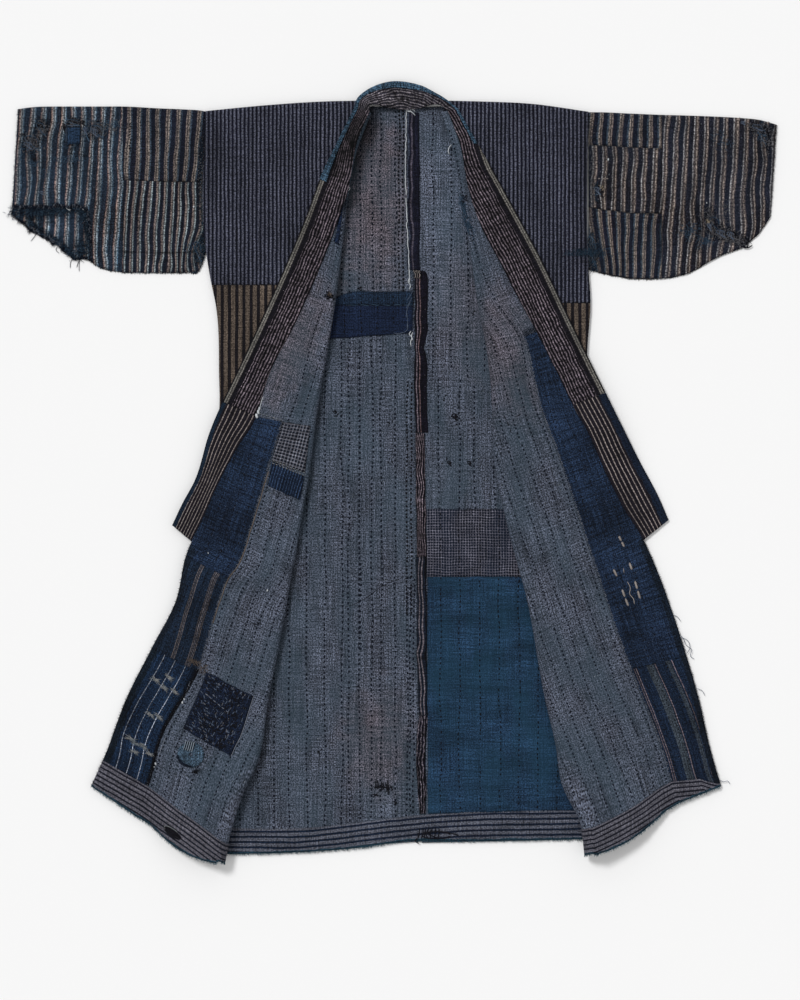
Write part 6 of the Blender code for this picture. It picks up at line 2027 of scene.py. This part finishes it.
def mottledPatch():
    # small pale stitches in wavering rows over the darned patch, among dark ones
    rng = np.random.default_rng(61)
    piece = frontGridsOf["right_patch_mottled"]
    rows, columns = piece["u"].shape
    face = patchLift + layers["patchCloth"] / 2
    for name, yarn, count, width, length in (("mottled_stitches_pale", "mottle", 110, 1.5, 6.4),
                                               ("mottled_stitches_worn", "speck", 40, 1.5, 6.0),
                                               ("mottled_stitches_dark", "black", 300, 2.2, 6.0)):
        down = (rng.integers(0, 11, count) + 0.5) / 11 + rng.normal(0, 0.022, count)
        across = rng.uniform(0.05, 0.95, count)
        row = np.clip((down * (rows - 1)).astype(int), 1, rows - 2)
        column = np.clip((across * (columns - 1)).astype(int), 1, columns - 2)
        middle = piece["place"][row, column]
        middle = middle + (piece["place"][row, column + 1] - middle) * rng.uniform(0, 1, (count, 1))
        # stitches lean down to the right on the outer half and up to the right on the inner one
        lean = np.where(across + rng.normal(0, 0.15, count) < 0.5, -48, 64)
        lean = np.radians(lean + rng.normal(0, 13, count))
        heading = np.stack([np.cos(lean), np.sin(lean), np.zeros(count)], axis=1) * length / 2
        heading = heading * rng.uniform(0.55, 1.25, (count, 1))
        normal = piece["normal"][row, column]
        base = middle + normal * face
        stitchPiece(name, np.concatenate([base - heading, base + heading, normal], axis=1), yarn,
                    width=width, height=0.5)
    sides = [(piece["place"][:, k, :2] + (1.0, 0)).tolist() for k in (0, -1)]
    laidThreads("mottled_edge_thread", lapels["right"], sides, liningFace + 0.5, 0.5, "grey")
    course = [((-294.5 + 6.4 * k, -337 - 5.2 * k), (-290.5 + 6.4 * k, -340 - 5.2 * k)) for k in range(6)]
    laidThreads("mottled_long_row", lapels["right"], course, patchLift + 1.0, 0.5, "grey")


frayEdges()
mendSleeves()
tornSleeve()
bastingThread()
darning()
navyPatchSewing()
hemMend()
knotsAndTufts()
looseThreads()
frayedSpots()
mottledPatch()
print("sewing done")

# room, light and camera

studio = {"floorColour": "#fdfdfd", "cameraHeight": 4.2, "imageHeight": 1.55, "sensor": 36.0,
          "fill": 0.55, "key": 1.6, "softness": 14.0, "tilt": 38.0, "heading": 222.0}


def buildStudio():
    bpy.ops.object.select_all(action="DESELECT")
    bpy.ops.mesh.primitive_plane_add(size=8, location=(0, 0, -0.0002))
    floor = bpy.context.object
    floor.name = "floor"
    paper = bpy.data.materials.new("white_paper_backdrop")  # matt paper, evenly lit
    paper.use_nodes = True
    shader = paper.node_tree.nodes["Principled BSDF"]
    shader.inputs["Base Color"].default_value = linear(studio["floorColour"])
    shader.inputs["Roughness"].default_value = 0.95
    floor.data.materials.append(paper)
    world = bpy.data.worlds.new("studio")
    world.use_nodes = True
    world.node_tree.nodes["Background"].inputs[0].default_value = (1, 1, 1, 1)
    world.node_tree.nodes["Background"].inputs[1].default_value = studio["fill"]
    bpy.context.scene.world = world
    lamp = bpy.data.lights.new("softbox", "SUN")
    lamp.angle = math.radians(studio["softness"])
    lamp.energy = studio["key"]
    lampObject = bpy.data.objects.new("softbox", lamp)
    bpy.context.scene.collection.objects.link(lampObject)
    lampObject.rotation_euler = (math.radians(studio["tilt"]), 0, math.radians(studio["heading"]))
    camera = bpy.data.cameras.new("camera")
    camera.sensor_width = studio["sensor"]
    camera.lens = studio["sensor"] * studio["cameraHeight"] / studio["imageHeight"]
    camera.clip_end = 50
    cameraObject = bpy.data.objects.new("camera", camera)
    cameraObject.location = (0.0091, -0.0442, studio["cameraHeight"])
    bpy.context.scene.collection.objects.link(cameraObject)
    bpy.context.scene.camera = cameraObject
    bpy.context.scene.view_settings.view_transform = "Standard"


buildStudio()
buildRoundMend()
buildSleeveMend()
